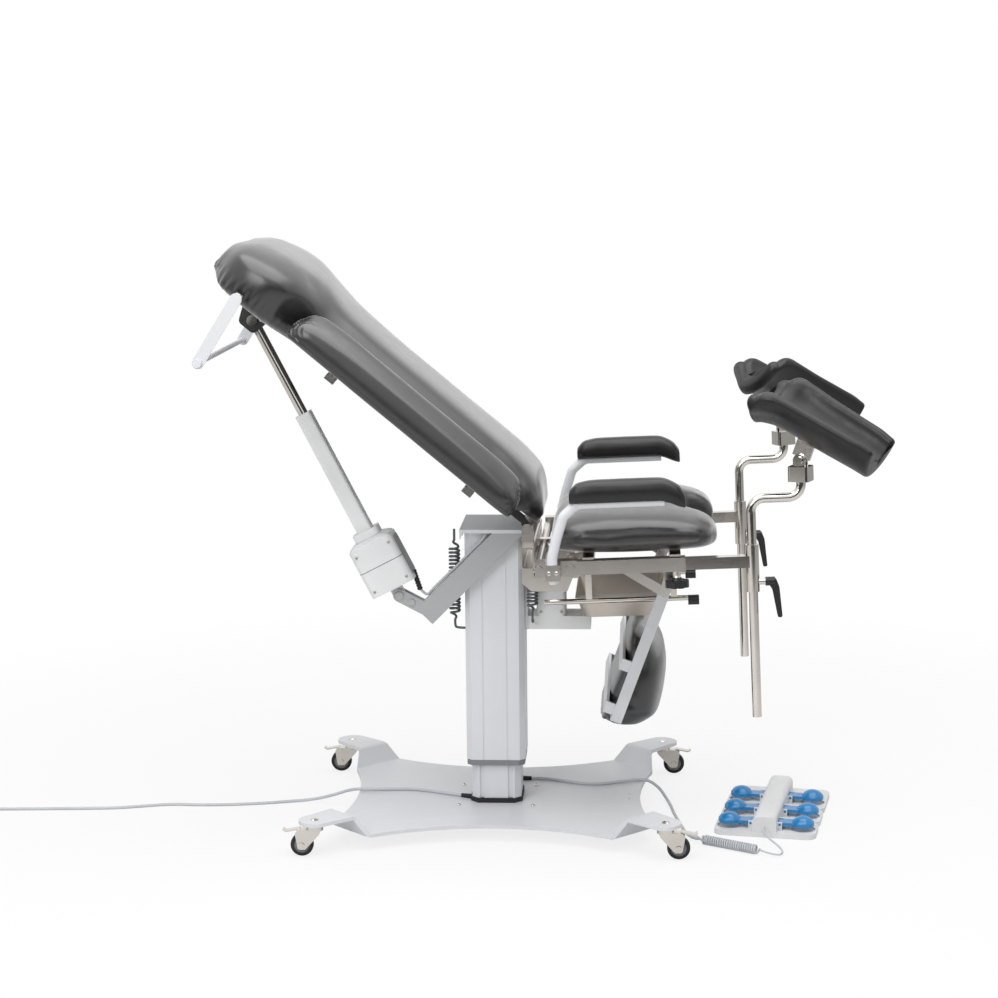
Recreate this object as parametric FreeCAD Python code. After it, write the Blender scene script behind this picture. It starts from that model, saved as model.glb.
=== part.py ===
import FreeCAD, Part
import math
import os

# Examination chair on a lifting column, in millimetres.
# +X points to the leg end, +Y to the far side, +Z up; the chair is drawn about the column's
# foot on the floor and moved at the end so that the origin lies under the middle of the whole.

V = FreeCAD.Vector
SIDES = {"near": -1, "far": 1}
ENDS = {"head": -1, "leg": 1}

# Fits
running = 0.05            # radial play of a pin or rod in its bore
gap = 0.3                 # room between faces of two bodies
weld = 2.0                # how far a welded piece sinks into its seat

# Base plate
plate_thick = 8.0
plate_top = 39.0
ear_top = 80.0
bolt_x = 380.0
bolt_y = 335.0
flat_corner_x = 355.0
flat_corner_y = 306.0
flat_waist_x = 325.0
flat_waist_y = 232.0
corner_cut = 93.0         # each way, the flat's cut corner where the ramp bends up
ramp_run = 24.0
ear_round = 33.0
bend_round = 10.0
slot_radius = 3.0

# Casters
wheel_radius = 25.0
wheel_width = 18.0
tread_round = 5.0
caster_trail = 28.0
axle_radius = 4.0
caster_bolt_radius = 5.0
bolt_head_radius = 10.0
bolt_head_height = 4.0
race_radius = 20.0
race_height = 6.0
fork_cheek = 2.5
crown_height = 8.0
nut_height = 4.0
brake_length = 34.0
brake_width = 18.0
brake_thick = 3.0

# Lifting column
column_x = -1.5
outer_x = 133.0
outer_y = 140.0
outer_chamfer = 12.0
outer_wall = 6.0
outer_bottom = 142.0
ring_height = 13.0
inner_x = 112.0
inner_y = 118.0
inner_chamfer = 14.0
inner_wall = 8.0
inner_top = 560.0
inner_land = 54.0
groove_width = 10.0
groove_depth = 4.0
gasket_height = 11.0
gasket_lip = 3.0
lift_rod_radius = 15.0
lift_tube_radius = 24.0
lift_tube_bottom = 290.0
lift_motor_radius = 18.0
lift_motor_length = 150.0

# Column head
head_top = 678.0
head_thick = 8.0
head_left = -76.0
head_right = 69.5
head_half_y = 103.0
head_lip = 12.0
head_lip_thick = 4.0
head_screw_radius = 5.0
head_screw_inset = 16.0
head_screw_deep = 3.0

# Support arm for the back's actuator
arm_height = 50.0
arm_width = 30.0
arm_wall = 3.0
arm_plane_y = -87.0
arm_end_x = -156.0
arm_end_z = 481.0
ear_plate = 6.0
ear_radius = 14.0
pin_radius = 6.0
pin_head_radius = 9.0
pin_head = 4.0

# Back actuator: its rear pivot, and distances along its axis from there
pivot_b_x = -212.0
pivot_b_z = 528.0
lug_thick = 12.0
motor_start = 22.0
motor_length = 114.0
motor_width = 107.0
motor_depth = 84.0
motor_round = 16.0
neck_radius = 25.0
collar_start = 148.0
collar_length = 17.0
collar_width = 62.0
tube_width = 36.0
tube_round = 6.0
tube_groove = 8.0
tube_groove_depth = 5.0
tube_mouth = 459.0
rod_radius = 11.0
rod_start = 280.0
bore_start = 60.0
rod_eye_radius = 14.0
rod_lug = 2 * rod_radius   # width of the rod's eye between the back's ears

# Cross tube and the back's hinge
cross_x = 80.0
cross_z = 630.5
cross_height = 50.0
cross_depth = 30.0
cross_wall = 4.0
cross_round = 6.0
cross_half_y = 200.0
hinge_x = 78.6
hinge_z = 688.7
hinge_y = 150.0
hinge_lug = 10.0
hinge_ear = 8.0
hinge_eye = 13.0

# Back: lengths along the back from the hinge, heights square to it
back_angle = 40.0
rail_width = 16.0
rail_start = 22.0
rail_end = 842.0
bar_low = 150.0
bar_high = 530.0
bar_head = 790.0
bar_reach = 268.0
rod_pin_s = 757.0
rod_pin_t = -40.0
slot_end_s = 748.0
slot_end_t = -20.0
slot_play = 4.0
ear_margin = 12.0
cushion_top = 104.0
wing_start = 58.0
wing_length = 611.0
wing_inner = 200.0
wing_outer = 292.0
wing_bottom = 18.0        # base of cushion and wings, top of the rails
wing_top = 100.0
latch_width = 24.0
latch_drop = 11.0
holder_out = 16.0         # from the bars' ends to the holder's arms
holder_y = bar_reach + holder_out
head_out = 13.0           # how far the head cushion is wider than the bars
holder_plate = 4.0
holder_width = 26.0
holder_drop = 155.0
holder_back = 22.0        # how far the arms lean toward the seat
paper_rod_radius = 6.0
paper_cap_radius = 9.0
paper_cap = 12.0

# Seat: lengths forward of its tilt pivot, heights above it
seat_tilt = 2.2
seat_x = 176.5
seat_z = 629.0
side_y = 288.0
side_tube = 30.0
side_wall = 2.4
side_start = 14.0
side_end = 245.0
side_bracket_start = -76.0
side_bracket_end = 16.0
lever_x = -68.0
lever_radius = 10.0
pivot_arm_y = 190.0
pivot_arm_thick = 10.0
seat_lug_thick = 10.0
seat_lug_eye = 14.0
seat_bar_rear = 26.0
seat_bar_front = 212.0
seat_bar_width = 24.0
seat_bar_height = 20.0
seat_board = 17.5
seat_rear = -45.0
seat_front = 319.0
seat_half_y = 284.0
seat_crown = 102.0
seat_border = 9.5         # straight part of the cushion's height
notch_start = 166.0
notch_half = 100.0

# Armrests
armrest_y = 336.0
armrest_radius = 11.0
armrest_boss = 16.0
pad_length = 243.0
pad_width = 54.0
pad_height = 42.0
pad_droop = 16.0
pad_rear = 5.0
armrest_run_z = 144.0

# Basin and its rails
rail_y = 150.0
rail_radius = 6.0
rail_z = -103.0
basin_rail_rear = -66.0
basin_rail_front = 250.0
cap_radius = 11.0
cap_length = 24.0
hanger_width = 14.0
hanger_thick = 4.0
hanger_rear = 26.0
hanger_front = 212.0
basin_rear = 2.0
basin_length = 203.0
basin_half_y = 124.0
basin_depth = 51.0
basin_wall = 2.0
basin_flange = rail_y - basin_half_y - gap
basin_draft = 14.0

# Leg supports
leg_bar_width = 25.0
leg_bar_start = 90.0
sleeve_x = 387.0
sleeve_radius = 14.0
sleeve_low = -66.0
sleeve_high = 36.0
post_radius = 10.0
post_low = -340.0
crank_z = 134.0
crank_out = 107.0
crank_bend = 28.0
post_high = 198.0
clamp_width = 46.0
clamp_height = 40.0
lever_z = -45.0
lever_hub_radius = 9.5
lever_hub = 20.0
lever_boss = 12.0
lever_boss_radius = 7.0
lever_stud = 5.0
lever_handle = 78.0
knob_x = 226.0
knob_radius = 25.5
knob_lobes = 8
knob_height = 14.0
knob_stem = 10.0
knob_stud = 4.0
knob_drop = 16.0
shell_length = 288.0
shell_half = 82.0
shell_depth = 66.0
shell_wall = 20.0
shell_flare = 16.0
shell_pitch = 21.5
shell_yaw = 25.0
shell_roll = 12.0         # outward lean of the trough on its lug
shell_lift = 40.0
tilt_pin_radius = 5.0
tilt_eye = 13.0
tilt_plate = 8.0

# Footrest
foot_x = 198.5
foot_z = -71.0
foot_hang = 22.3
foot_bar_y = 240.0
foot_bar_width = 25.0
foot_bar_thick = 6.0
foot_bar_up = 28.0
foot_bar_down = 308.0
foot_brace_x = 96.0
foot_brace_z = -4.0
foot_lug_x = 216.0
foot_pin = 5.0
foot_pad_start = 132.0
foot_pad_length = 202.0
foot_pad_half = 200.0
foot_pad_thick = 118.0
foot_pad_set = -28.0      # base of the pad behind the bars' middle
foot_strip = 6.0

# Seat actuator beside the column
lift_x = 108.5
seat_rod_radius = 8.0
seat_rod_low = 505.0
guide_radius = 14.0
guide_top = 590.0
guide_low = 478.0
lift_box_left = 92.0
lift_box_right = 158.0
lift_box_half = 42.0
lift_box_low = 440.0
lift_box_step = 470.0
lift_box_high = 556.0
lift_foot_right = 214.0
lift_bracket = 7.0

# Foot control on the floor
control_x = 632.0
control_y = 8.0
control_turn = -10.0
control_half_x = 113.0
control_near = -190.0
control_far = 165.0
control_base = 12.0
control_round = 22.0
spine_half = 27.0
spine_top = 46.0
spine_round = 14.0
pedal_rows = (-148.0, -46.0, 62.0)
pedal_reach = 82.0
dome_radius = 25.0
dome_height = 14.0
pedal_arm_half = 16.0
pedal_arm_thick = 7.0
pedal_rest = 28.0
pedal_axle = 3.0
recess_depth = 4.0

# Cords
lead_radius = 3.5
gland_radius = 6.0
gland_length = 22.0
curl_radius = 9.0
curl_wire = 2.2
curl_turns = 25
cable_wire = 2.8
cable_radius = 11.0
coil_turns = 3.5
coil_pitch = 7.9
coil_inner = 26.0
coil_tail = 40.0          # straight ends of the coil
coil_ease = 0.15          # turns over which the spiral turns back
coil_x = -1290.0
coil_y = -82.0
layer_step = 7.9
plug_length = 52.0
plug_half = 19.0
plug_height = 21.0
plug_pin_radius = 2.3
plug_pin_length = 19.0
plug_pin_pitch = 19.0

# The mains lead from the column's foot over the plate's edge to the coil, lead centres
mains_route = [
    (-84.0, -16.0, 43.0), (-118.0, -1.0, 42.8), (-162.0, 20.0, 42.6), (-208.0, 34.0, 42.6),
    (-256.0, 29.0, 43.0), (-300.0, 21.0, 44.4), (-342.0, 24.0, 44.6), (-386.0, 44.0, 24.0),
    (-438.0, 61.0, 7.0), (-496.0, 54.0, 3.6), (-562.0, 36.0, 3.7), (-632.0, 24.0, 3.6),
    (-702.0, 19.0, 3.7), (-768.0, 25.0, 3.6), (-828.0, 8.0, 3.7), (-890.0, -10.0, 3.6),
    (-964.0, -16.0, 3.7), (-1044.0, -20.0, 3.6), (-1112.0, -24.0, 3.7), (-1162.0, -26.4, 3.6),
    (-1208.0, -27.2, 3.7),
]
# The pedal lead from the column's foot over the plate and down to its curl
pedal_route = [
    (70.0, 128.0, 43.0), (100.0, 130.0, 42.8), (140.0, 114.0, 42.6), (186.0, 90.0, 42.6),
    (230.0, 85.0, 42.6), (272.0, 103.0, 42.8), (312.0, 120.0, 44.0), (344.0, 127.0, 42.0),
    (370.0, 119.0, 26.0), (386.0, 92.0, 9.0), (396.0, 50.0, 3.7), (402.0, -8.0, 3.6),
    (411.0, -68.0, 3.7), (420.0, -124.0, 3.6), (427.0, -166.0, 4.5), (434.0, -196.0, 8.0),
    (440.0, -214.0, 11.4),
]
curl_start = V(455.0, -228.0, 11.4)
curl_end = V(586.0, -308.0, 11.4)
# From the curl's end up into the near end of the foot control
tail_route = [
    (604.0, -319.2, 8.5), (625.0, -320.5, 5.2), (635.0, -299.0, 5.2), (626.0, -271.0, 10.0),
    (608.0, -246.0, 17.5),
]
mouth_z = 24.0
mouth_run = 36.0          # straight end of the cord in front of the spine

# Sizes that follow from the ones above
plate_bottom = plate_top - plate_thick
ear_bottom = ear_top - plate_thick
inner_bottom = plate_top + gasket_height
head_bottom = head_top - head_thick
back_axis = V(-math.cos(math.radians(back_angle)), 0, math.sin(math.radians(back_angle)))
back_normal = V(math.sin(math.radians(back_angle)), 0, math.cos(math.radians(back_angle)))
hinge_point = V(hinge_x, 0, hinge_z)
pivot_b = V(pivot_b_x, arm_plane_y, pivot_b_z)


# Shape helpers

def block(x0, x1, y0, y1, z0, z1):
    """A box between two corners."""
    return Part.makeBox(x1 - x0, y1 - y0, z1 - z0, V(x0, y0, z0))


def rod(start, end, radius):
    """A round bar between two points."""
    along = end - start
    return Part.makeCylinder(radius, along.Length, start, along)


def ring(start, end, radius, bore):
    """A round tube between two points."""
    along = end - start
    reach = V(along).normalize()
    return rod(start, end, radius).cut(rod(start - reach, end + reach, bore))


def corner_arc(before, corner, after, radius):
    """The two tangent points and the middle of an arc that rounds one corner."""
    inward = (before - corner).normalize()
    onward = (after - corner).normalize()
    half = inward.getAngle(onward) / 2
    reach = radius / math.tan(half)
    centre = corner + (inward + onward).normalize() * (radius / math.sin(half))
    middle = centre + (corner - centre).normalize() * radius
    return corner + inward * reach, middle, corner + onward * reach


def rounded_path(points, radii, closed):
    """Lines through the points, with each inner corner rounded by its own radius."""
    count = len(points)
    edges = []
    turns = range(count) if closed else range(1, count - 1)
    arcs = {}
    for i in turns:
        radius = radii[i] if isinstance(radii, (list, tuple)) else radii
        if radius > 0:
            arcs[i] = corner_arc(points[i - 1], points[i], points[(i + 1) % count], radius)
    for i in range(count if closed else count - 1):
        follow = (i + 1) % count
        start = arcs[i][2] if i in arcs else points[i]
        end = arcs[follow][0] if follow in arcs else points[follow]
        if (end - start).Length > 1e-6:
            edges.append(Part.makeLine(start, end))
        if follow in arcs:
            edges.append(Part.Arc(*arcs[follow]).toShape())
    return Part.Wire(edges)


def prism(points, along, radii=0):
    """A flat outline with rounded corners, pushed along a direction."""
    return Part.Face(rounded_path(points, radii, True)).extrude(along)


def side_prism(points, y0, y1, radii=0):
    """An outline in X and Z, as thick as from y0 to y1."""
    return prism([V(x, y0, z) for x, z in points], V(0, y1 - y0, 0), radii)


def strap(start, end, width, y0, y1):
    """A flat bar with round ends between two points in X and Z."""
    along = V(end[0] - start[0], 0, end[1] - start[1])
    across = V(-along.z, 0, along.x).normalize() * (width / 2)
    low = V(start[0], y0, start[1])
    high = V(end[0], y0, end[1])
    step = V(0, y1 - y0, 0)
    bar = prism([low + across, high + across, high - across, low - across], step)
    for point in (low, high):
        bar = bar.fuse(rod(point, point + step, width / 2))
    return bar.removeSplitter()


def bent_bar(points, bend, radius):
    """A round bar along straight runs with a bend at each inner point."""
    path = rounded_path(points, bend, False)
    start = points[0]
    along = points[1] - points[0]
    section = Part.Wire(Part.makeCircle(radius, start, along))
    return path.makePipeShell([section], True, False)


def square_tube(start, end, width, wall):
    """A square tube along X between two points of its axis."""
    half = width / 2
    outer = block(start.x, end.x, start.y - half, start.y + half, start.z - half, start.z + half)
    hole = half - wall
    inner = block(start.x - 1, end.x + 1, start.y - hole, start.y + hole, start.z - hole, start.z + hole)
    return outer.cut(inner)


def fused(shapes):
    """One solid from several that overlap or touch."""
    whole = shapes[0].multiFuse(shapes[1:]) if len(shapes) > 1 else shapes[0]
    whole = whole.removeSplitter()
    return whole.Solids[0] if len(whole.Solids) == 1 else whole


def group(shapes):
    """Separate solids kept side by side in one node."""
    solids = []
    for shape in shapes:
        solids.extend(shape.Solids)
    return Part.makeCompound(solids)


def mirrored(shape):
    """The same piece on the other side of the chair."""
    return shape.mirror(V(0, 0, 0), V(0, 1, 0))


def turned(shape, centre, axis, angle):
    """A copy turned about an axis through a point, in degrees."""
    copy = shape.copy()
    copy.rotate(centre, axis, angle)
    return copy


def octagon(half_x, half_y, chamfer, z0, z1, x=0.0):
    """An upright prism with four cut corners."""
    corners = []
    for sx, sy, first in ((1, -1, True), (1, 1, False), (-1, 1, True), (-1, -1, False)):
        along_x = V(x + sx * (half_x - chamfer), sy * half_y, z0)
        along_y = V(x + sx * half_x, sy * (half_y - chamfer), z0)
        corners += [along_x, along_y] if first else [along_y, along_x]
    return prism(corners, V(0, 0, z1 - z0))


def rounded_box(x0, x1, y0, y1, z0, z1, radius):
    """An upright box with its four upright edges rounded."""
    corners = [V(x0, y0, z0), V(x1, y0, z0), V(x1, y1, z0), V(x0, y1, z0)]
    return prism(corners, V(0, 0, z1 - z0), radius)


def pad_section(at, half, base, edge, crown, draw):
    """One cross-section of a stuffed pad: flat base, drawn-in sides and a crowned top."""
    lean = draw / 2
    points = {
        "left foot": V(at, -half + draw, base), "right foot": V(at, half - draw, base),
        "left side": V(at, -half, base + edge * 0.55), "right side": V(at, half, base + edge * 0.55),
        "left edge": V(at, -half + lean, base + edge), "right edge": V(at, half - lean, base + edge),
        "crown": V(at, 0, base + crown),
    }
    return Part.Wire([
        Part.makeLine(points["left foot"], points["right foot"]),
        Part.Arc(points["right foot"], points["right side"], points["right edge"]).toShape(),
        Part.Arc(points["right edge"], points["crown"], points["left edge"]).toShape(),
        Part.Arc(points["left edge"], points["left side"], points["left foot"]).toShape(),
    ])


def half_arc(start, corner, end):
    """An arc from start to end that leaves and arrives along the two lines through the corner."""
    chord_middle = (start + end) * 0.5
    rise = corner - chord_middle
    half_chord = (end - start).Length / 2
    if rise.Length < 1e-7:
        return Part.makeLine(start, end)
    lean = math.atan2(rise.Length, half_chord)
    middle = chord_middle + rise.normalize() * (half_chord * math.tan(lean / 2))
    return Part.Arc(start, middle, end).toShape()


def biarc(start, start_way, end, end_way):
    """Two arcs that join smoothly and run from one point and direction to another."""
    across = end - start
    ways = start_way + end_way
    spread = 2 * (1 - start_way.dot(end_way))
    reach = across.dot(ways)
    if spread < 1e-9:
        length = across.dot(across) / (2 * reach)
    else:
        length = (-reach + math.sqrt(reach * reach + spread * across.dot(across))) / spread
    first = start + start_way * length
    last = end - end_way * length
    joint = (first + last) * 0.5
    return [half_arc(start, first, joint), half_arc(joint, last, end)]


def wound_tube(curve, turn_count, wire, lead_in):
    """A round wire along a wound curve, with straight ends one wire diameter long."""
    steps = int(round(turn_count * 4))
    points = [curve(turn_count * i / steps) for i in range(steps + 1)]
    delta = 1e-4
    ways = []
    for i in range(steps + 1):
        at = turn_count * i / steps
        ways.append((curve(at + delta) - curve(at - delta)).normalize())
    start = points[0] - ways[0] * lead_in
    end = points[-1] + ways[-1] * lead_in
    edges = [Part.makeLine(start, points[0])]
    for i in range(steps):
        edges += biarc(points[i], ways[i], points[i + 1], ways[i + 1])
    edges.append(Part.makeLine(points[-1], end))
    section = Part.Wire(Part.makeCircle(wire, start, ways[0]))
    return Part.Wire(edges).makePipeShell([section], True, False), start, end


def least_gap(name, curve, turn_count, wire):
    """Measure on points how near a wound wire comes to itself, and print it."""
    per_turn = 48
    count = int(turn_count * per_turn)
    points = [curve(turn_count * i / count) for i in range(count + 1)]
    nearest = min(
        (points[i] - points[j]).Length
        for i in range(len(points))
        for j in range(i + per_turn // 2, min(i + per_turn * 3, len(points)))
    )
    print(f"{name}: least gap to itself {nearest - 2 * wire:.2f} mm")


def lead_tube(name, route, radius):
    """A lead along its route: straight runs with arcs as large as the runs allow."""
    points = [V(*point) for point in route]
    radii = [0.0] * len(points)
    for i in range(1, len(points) - 1):
        before = points[i] - points[i - 1]
        after = points[i + 1] - points[i]
        turn = before.getAngle(after)
        radii[i] = 0.45 * min(before.Length, after.Length) / math.tan(turn / 2)
    path = rounded_path(points, radii, False)
    section = Part.Wire(Part.makeCircle(radius, points[0], points[1] - points[0]))
    tube = path.makePipeShell([section], True, False)
    share = tube.Volume / (math.pi * radius ** 2 * path.Length)
    bends = " ".join(f"{r:.0f}" for r in radii[1:-1])
    print(f"{name}: length {path.Length:.0f} mm, volume share {share:.4f}, bend radii {bends}")
    return tube


# Base and casters

def flat_outline():
    """The plate's flat middle: concave sides between four cut corners."""
    inner_y = flat_corner_y - corner_cut
    inner_x = flat_corner_x - corner_cut
    z = plate_bottom
    corners = [
        V(-inner_x, -flat_corner_y, z), V(inner_x, -flat_corner_y, z),
        V(flat_corner_x, -inner_y, z), V(flat_corner_x, inner_y, z),
        V(inner_x, flat_corner_y, z), V(-inner_x, flat_corner_y, z),
        V(-flat_corner_x, inner_y, z), V(-flat_corner_x, -inner_y, z),
    ]
    waists = [V(0, -flat_waist_y, z), V(flat_waist_x, 0, z), V(0, flat_waist_y, z),
              V(-flat_waist_x, 0, z)]
    edges = []
    for i, waist in enumerate(waists):
        edges.append(Part.Arc(corners[2 * i], waist, corners[2 * i + 1]).toShape())
        edges.append(Part.makeLine(corners[2 * i + 1], corners[(2 * i + 2) % 8]))
    return Part.Wire(edges)


def base_ear(side_x, side_y):
    """One corner: the ramp bent up from the flat and the ear that carries a caster."""
    root = math.sqrt(2)
    bend = (flat_corner_x + flat_corner_y - corner_cut) / root
    centre = (flat_corner_y - flat_corner_x) / root
    bolt_along = (bolt_x + bolt_y) / root
    bolt_across = (bolt_y - bolt_x) / root
    slope = math.atan2(ear_top - plate_top, ramp_run)
    shift = plate_thick * math.tan(slope / 2)
    tip = bolt_along + ear_round
    overlap = 3 * plate_thick
    profile = [
        V(bend - overlap, 0, plate_top), V(bend, 0, plate_top), V(bend + ramp_run, 0, ear_top),
        V(tip, 0, ear_top), V(tip, 0, ear_bottom), V(bend + ramp_run + shift, 0, ear_bottom),
        V(bend + shift, 0, plate_bottom), V(bend - overlap, 0, plate_bottom),
    ]
    inner = bend_round - plate_thick
    radii = [0, inner, bend_round, 0, 0, inner, bend_round, 0]
    width = 2 * corner_cut
    strip = prism(profile, V(0, width, 0), radii)
    strip.translate(V(0, centre - width / 2, 0))
    half = corner_cut / root
    neck = bend + ramp_run
    outline = [
        V(bend - overlap, centre - half, 0), V(bend, centre - half, 0),
        V(neck, bolt_across - ear_round - plate_thick, 0), V(tip, bolt_across - ear_round, 0),
        V(tip, bolt_across + ear_round, 0), V(neck, bolt_across + ear_round + plate_thick, 0),
        V(bend, centre + half, 0), V(bend - overlap, centre + half, 0),
    ]
    blank = prism(outline, V(0, 0, ear_top + 1), [0, 0, 0, ear_round - 0.5, ear_round - 0.5, 0, 0, 0])
    ear = strip.common(blank)
    hole_at = V(bolt_along, bolt_across, 0)
    ear = ear.cut(rod(hole_at, hole_at + V(0, 0, ear_top + 1), caster_bolt_radius + running))
    ear.rotate(V(0, 0, 0), V(0, 0, 1), 45)
    if side_x < 0:
        ear = ear.mirror(V(0, 0, 0), V(1, 0, 0))
    if side_y < 0:
        ear = ear.mirror(V(0, 0, 0), V(0, 1, 0))
    return ear


def base_plate():
    """The bent sheet base with four ears and two small slots."""
    flat = Part.Face(flat_outline()).extrude(V(0, 0, plate_thick))
    ears = [base_ear(sx, sy) for sx in (-1, 1) for sy in (-1, 1)]
    plate = fused([flat] + ears)
    for y in (-18.0, 18.0):
        at = V(flat_waist_x - 24, y, plate_bottom - 1)
        plate = plate.cut(rod(at, at + V(0, 0, plate_thick + 2), slot_radius))
    return plate


def caster_places():
    """Each caster's name, bolt point and the way its wheel trails."""
    places = {}
    for end, sx in ENDS.items():
        for side, sy in SIDES.items():
            places[f"{end}_{side}"] = (V(sx * bolt_x, sy * bolt_y, 0), sx)
    return places


def caster_bolts():
    """Bolts through the ears with their heads, upper races and nuts."""
    bolts = []
    low = ear_bottom - race_height - gap - crown_height - gap - nut_height
    for at, _ in caster_places().values():
        shank = rod(at + V(0, 0, low), at + V(0, 0, ear_top + 0.5), caster_bolt_radius)
        head = Part.makeSphere(bolt_head_radius * 1.6,
                               at + V(0, 0, ear_top + bolt_head_height - bolt_head_radius * 1.6))
        head = head.common(rod(at + V(0, 0, ear_top), at + V(0, 0, ear_top + bolt_head_height),
                               bolt_head_radius))
        nut = rod(at + V(0, 0, low), at + V(0, 0, low + nut_height), caster_bolt_radius * 1.7)
        race = rod(at + V(0, 0, ear_bottom - race_height), at + V(0, 0, ear_bottom), race_radius)
        bolts.append(fused([shank, head, nut, race]))
    return group(bolts)


def caster_fork(at, way):
    """The stamped fork: crown, two cheeks, axle and the brake lever over the wheel."""
    crown_top = ear_bottom - race_height - gap
    crown_low = crown_top - crown_height
    inner = wheel_width / 2 + 1.7
    outer = inner + fork_cheek
    axle_at = V(way * caster_trail, 0, wheel_radius)
    crown = rod(V(0, 0, crown_low), V(0, 0, crown_top), race_radius - 1.5)
    crown = crown.cut(rod(V(0, 0, crown_low - 1), V(0, 0, crown_top + 1), caster_bolt_radius + running))
    solids = [crown]
    for side in (-1, 1):
        y0, y1 = sorted((side * inner, side * outer))
        outline = [
            (-way * 15.0, crown_low + weld), (-way * 11.0, crown_low - 8.0),
            (axle_at.x - way * 8.0, wheel_radius - 9.0),
            (axle_at.x + way * 8.0, wheel_radius - 9.0), (axle_at.x + way * 14.0, crown_low - 6.0),
            (axle_at.x + way * 8.0, crown_low + weld),
        ]
        solids.append(side_prism(outline, y0, y1, [2.0, 3.0, 6.0, 6.0, 4.0, 2.0]))
    hood_end = axle_at.x + way * 8.0
    x0, x1 = sorted((-way * 10.0, hood_end))
    solids.append(block(x0, x1, -outer, outer, crown_low, crown_low + weld))
    fork = fused(solids)
    fork = fork.cut(rod(V(0, 0, crown_low - 12), V(0, 0, crown_low), caster_bolt_radius * 1.7 + 1.5))
    fork = fork.cut(rod(V(0, 0, crown_low - 1), V(0, 0, crown_top + 1), caster_bolt_radius + running))
    axle = rod(axle_at - V(0, outer + 3, 0), axle_at + V(0, outer + 3, 0), axle_radius)
    for side in (-1, 1):
        head = axle_at + V(0, side * outer, 0)
        axle = axle.fuse(rod(head, head + V(0, side * 3, 0), axle_radius * 1.7))
    root = V(hood_end - way * weld * 2, 0, crown_low + weld)
    tip = V(axle_at.x + way * brake_length, 0, crown_low - 4)
    lever = [
        (root.x, root.z), (tip.x, tip.z), (tip.x + way * 7, tip.z + 4),
        (tip.x + way * 7, tip.z + 4 + brake_thick), (tip.x, tip.z + brake_thick),
        (root.x, root.z + brake_thick),
    ]
    brake = side_prism(lever, -brake_width / 2, brake_width / 2)
    node = group([fork.cut(axle), axle, brake.cut(fork)])
    node.translate(at)
    return node


def caster_wheel(at, way):
    """Tyre and hub on the axle."""
    axle_at = at + V(way * caster_trail, 0, wheel_radius)
    half = wheel_width / 2
    tyre_bore = wheel_radius * 0.68
    tyre = ring(axle_at - V(0, half, 0), axle_at + V(0, half, 0), wheel_radius, tyre_bore)
    rims = [e for e in tyre.Edges if e.Curve.TypeId == "Part::GeomCircle"]
    tyre = tyre.makeFillet(tread_round, [e for e in rims if e.Curve.Radius > tyre_bore + 1])
    hub_half = half + 1.7 - gap
    hub = rod(axle_at - V(0, half - 3, 0), axle_at + V(0, half - 3, 0), tyre_bore)
    hub = hub.fuse(rod(axle_at - V(0, hub_half, 0), axle_at + V(0, hub_half, 0), axle_radius * 2))
    hub = hub.cut(rod(axle_at - V(0, half * 2, 0), axle_at + V(0, half * 2, 0), axle_radius + running))
    return group([tyre, hub])


# Lifting column

def column_foot_gasket():
    """The dark foot under the column, with the two glands that the leads leave by."""
    half_x = inner_x / 2 + gasket_lip
    half_y = inner_y / 2 + gasket_lip
    foot = octagon(half_x, half_y, inner_chamfer + gasket_lip, plate_top, inner_bottom, column_x)
    glands = []
    for route in (mains_route, pedal_route):
        mouth = V(*route[0])
        way = (V(*route[1]) - mouth).normalize()
        back = mouth - way * (gland_length + 20)
        cone = Part.makeCone(gland_radius, lead_radius + 1.2, gland_length, mouth - way * gland_length,
                             way)
        stub = rod(back, mouth - way * gland_length, gland_radius)
        piece = fused([cone, stub])
        floor = block(-500, 500, -500, 500, 0, plate_top)
        glands.append(piece.cut(floor).cut(foot))
    return group([foot] + glands)


def column_inner_profile():
    """The fixed inner profile: cut corners, grooves beside each land, hollow."""
    body = octagon(inner_x / 2, inner_y / 2, inner_chamfer, inner_bottom, inner_top, column_x)
    cavity = octagon(inner_x / 2 - inner_wall, inner_y / 2 - inner_wall, inner_chamfer - 4,
                     inner_bottom - 1,
                     inner_top + 1, column_x)
    body = body.cut(cavity)
    grooves = []
    inset = inner_land / 2
    for side in (-1, 1):
        for start in (-inset - groove_width, inset):
            y0, y1 = sorted((side * (inner_y / 2 - groove_depth), side * (inner_y / 2 + 1)))
            x0 = column_x + start
            grooves.append(block(x0, x0 + groove_width, y0, y1, inner_bottom - 1, inner_top + 1))
            x2, x3 = sorted((side * (inner_x / 2 - groove_depth), side * (inner_x / 2 + 1)))
            grooves.append(block(column_x + x2, column_x + x3, start, start + groove_width,
                                 inner_bottom - 1, inner_top + 1))
    return fused([body]).cut(Part.makeCompound(grooves))


def column_outer_profile():
    """The lifted outer profile and the slide ring at its lower end."""
    tube = octagon(outer_x / 2, outer_y / 2, outer_chamfer, outer_bottom, head_bottom, column_x)
    tube = tube.cut(octagon(outer_x / 2 - outer_wall, outer_y / 2 - outer_wall, outer_chamfer - 3,
                            outer_bottom - 1, head_bottom + 1, column_x))
    for side in (-1, 1):
        y0, y1 = sorted((side * (outer_y / 2 - 1.5), side * (outer_y / 2 + 1)))
        for x in (-inner_land / 2, inner_land / 2):
            tube = tube.cut(block(column_x + x - 1, column_x + x + 1, y0, y1, outer_bottom - 1,
                                  head_bottom + 1))
    slide = octagon(outer_x / 2 - 1, outer_y / 2 - 1, outer_chamfer, outer_bottom - ring_height,
                    outer_bottom, column_x)
    slide = slide.cut(octagon(inner_x / 2 + gap, inner_y / 2 + gap, inner_chamfer,
                              outer_bottom - ring_height - 1,
                              outer_bottom + 1, column_x))
    return group([tube, slide])


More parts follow.
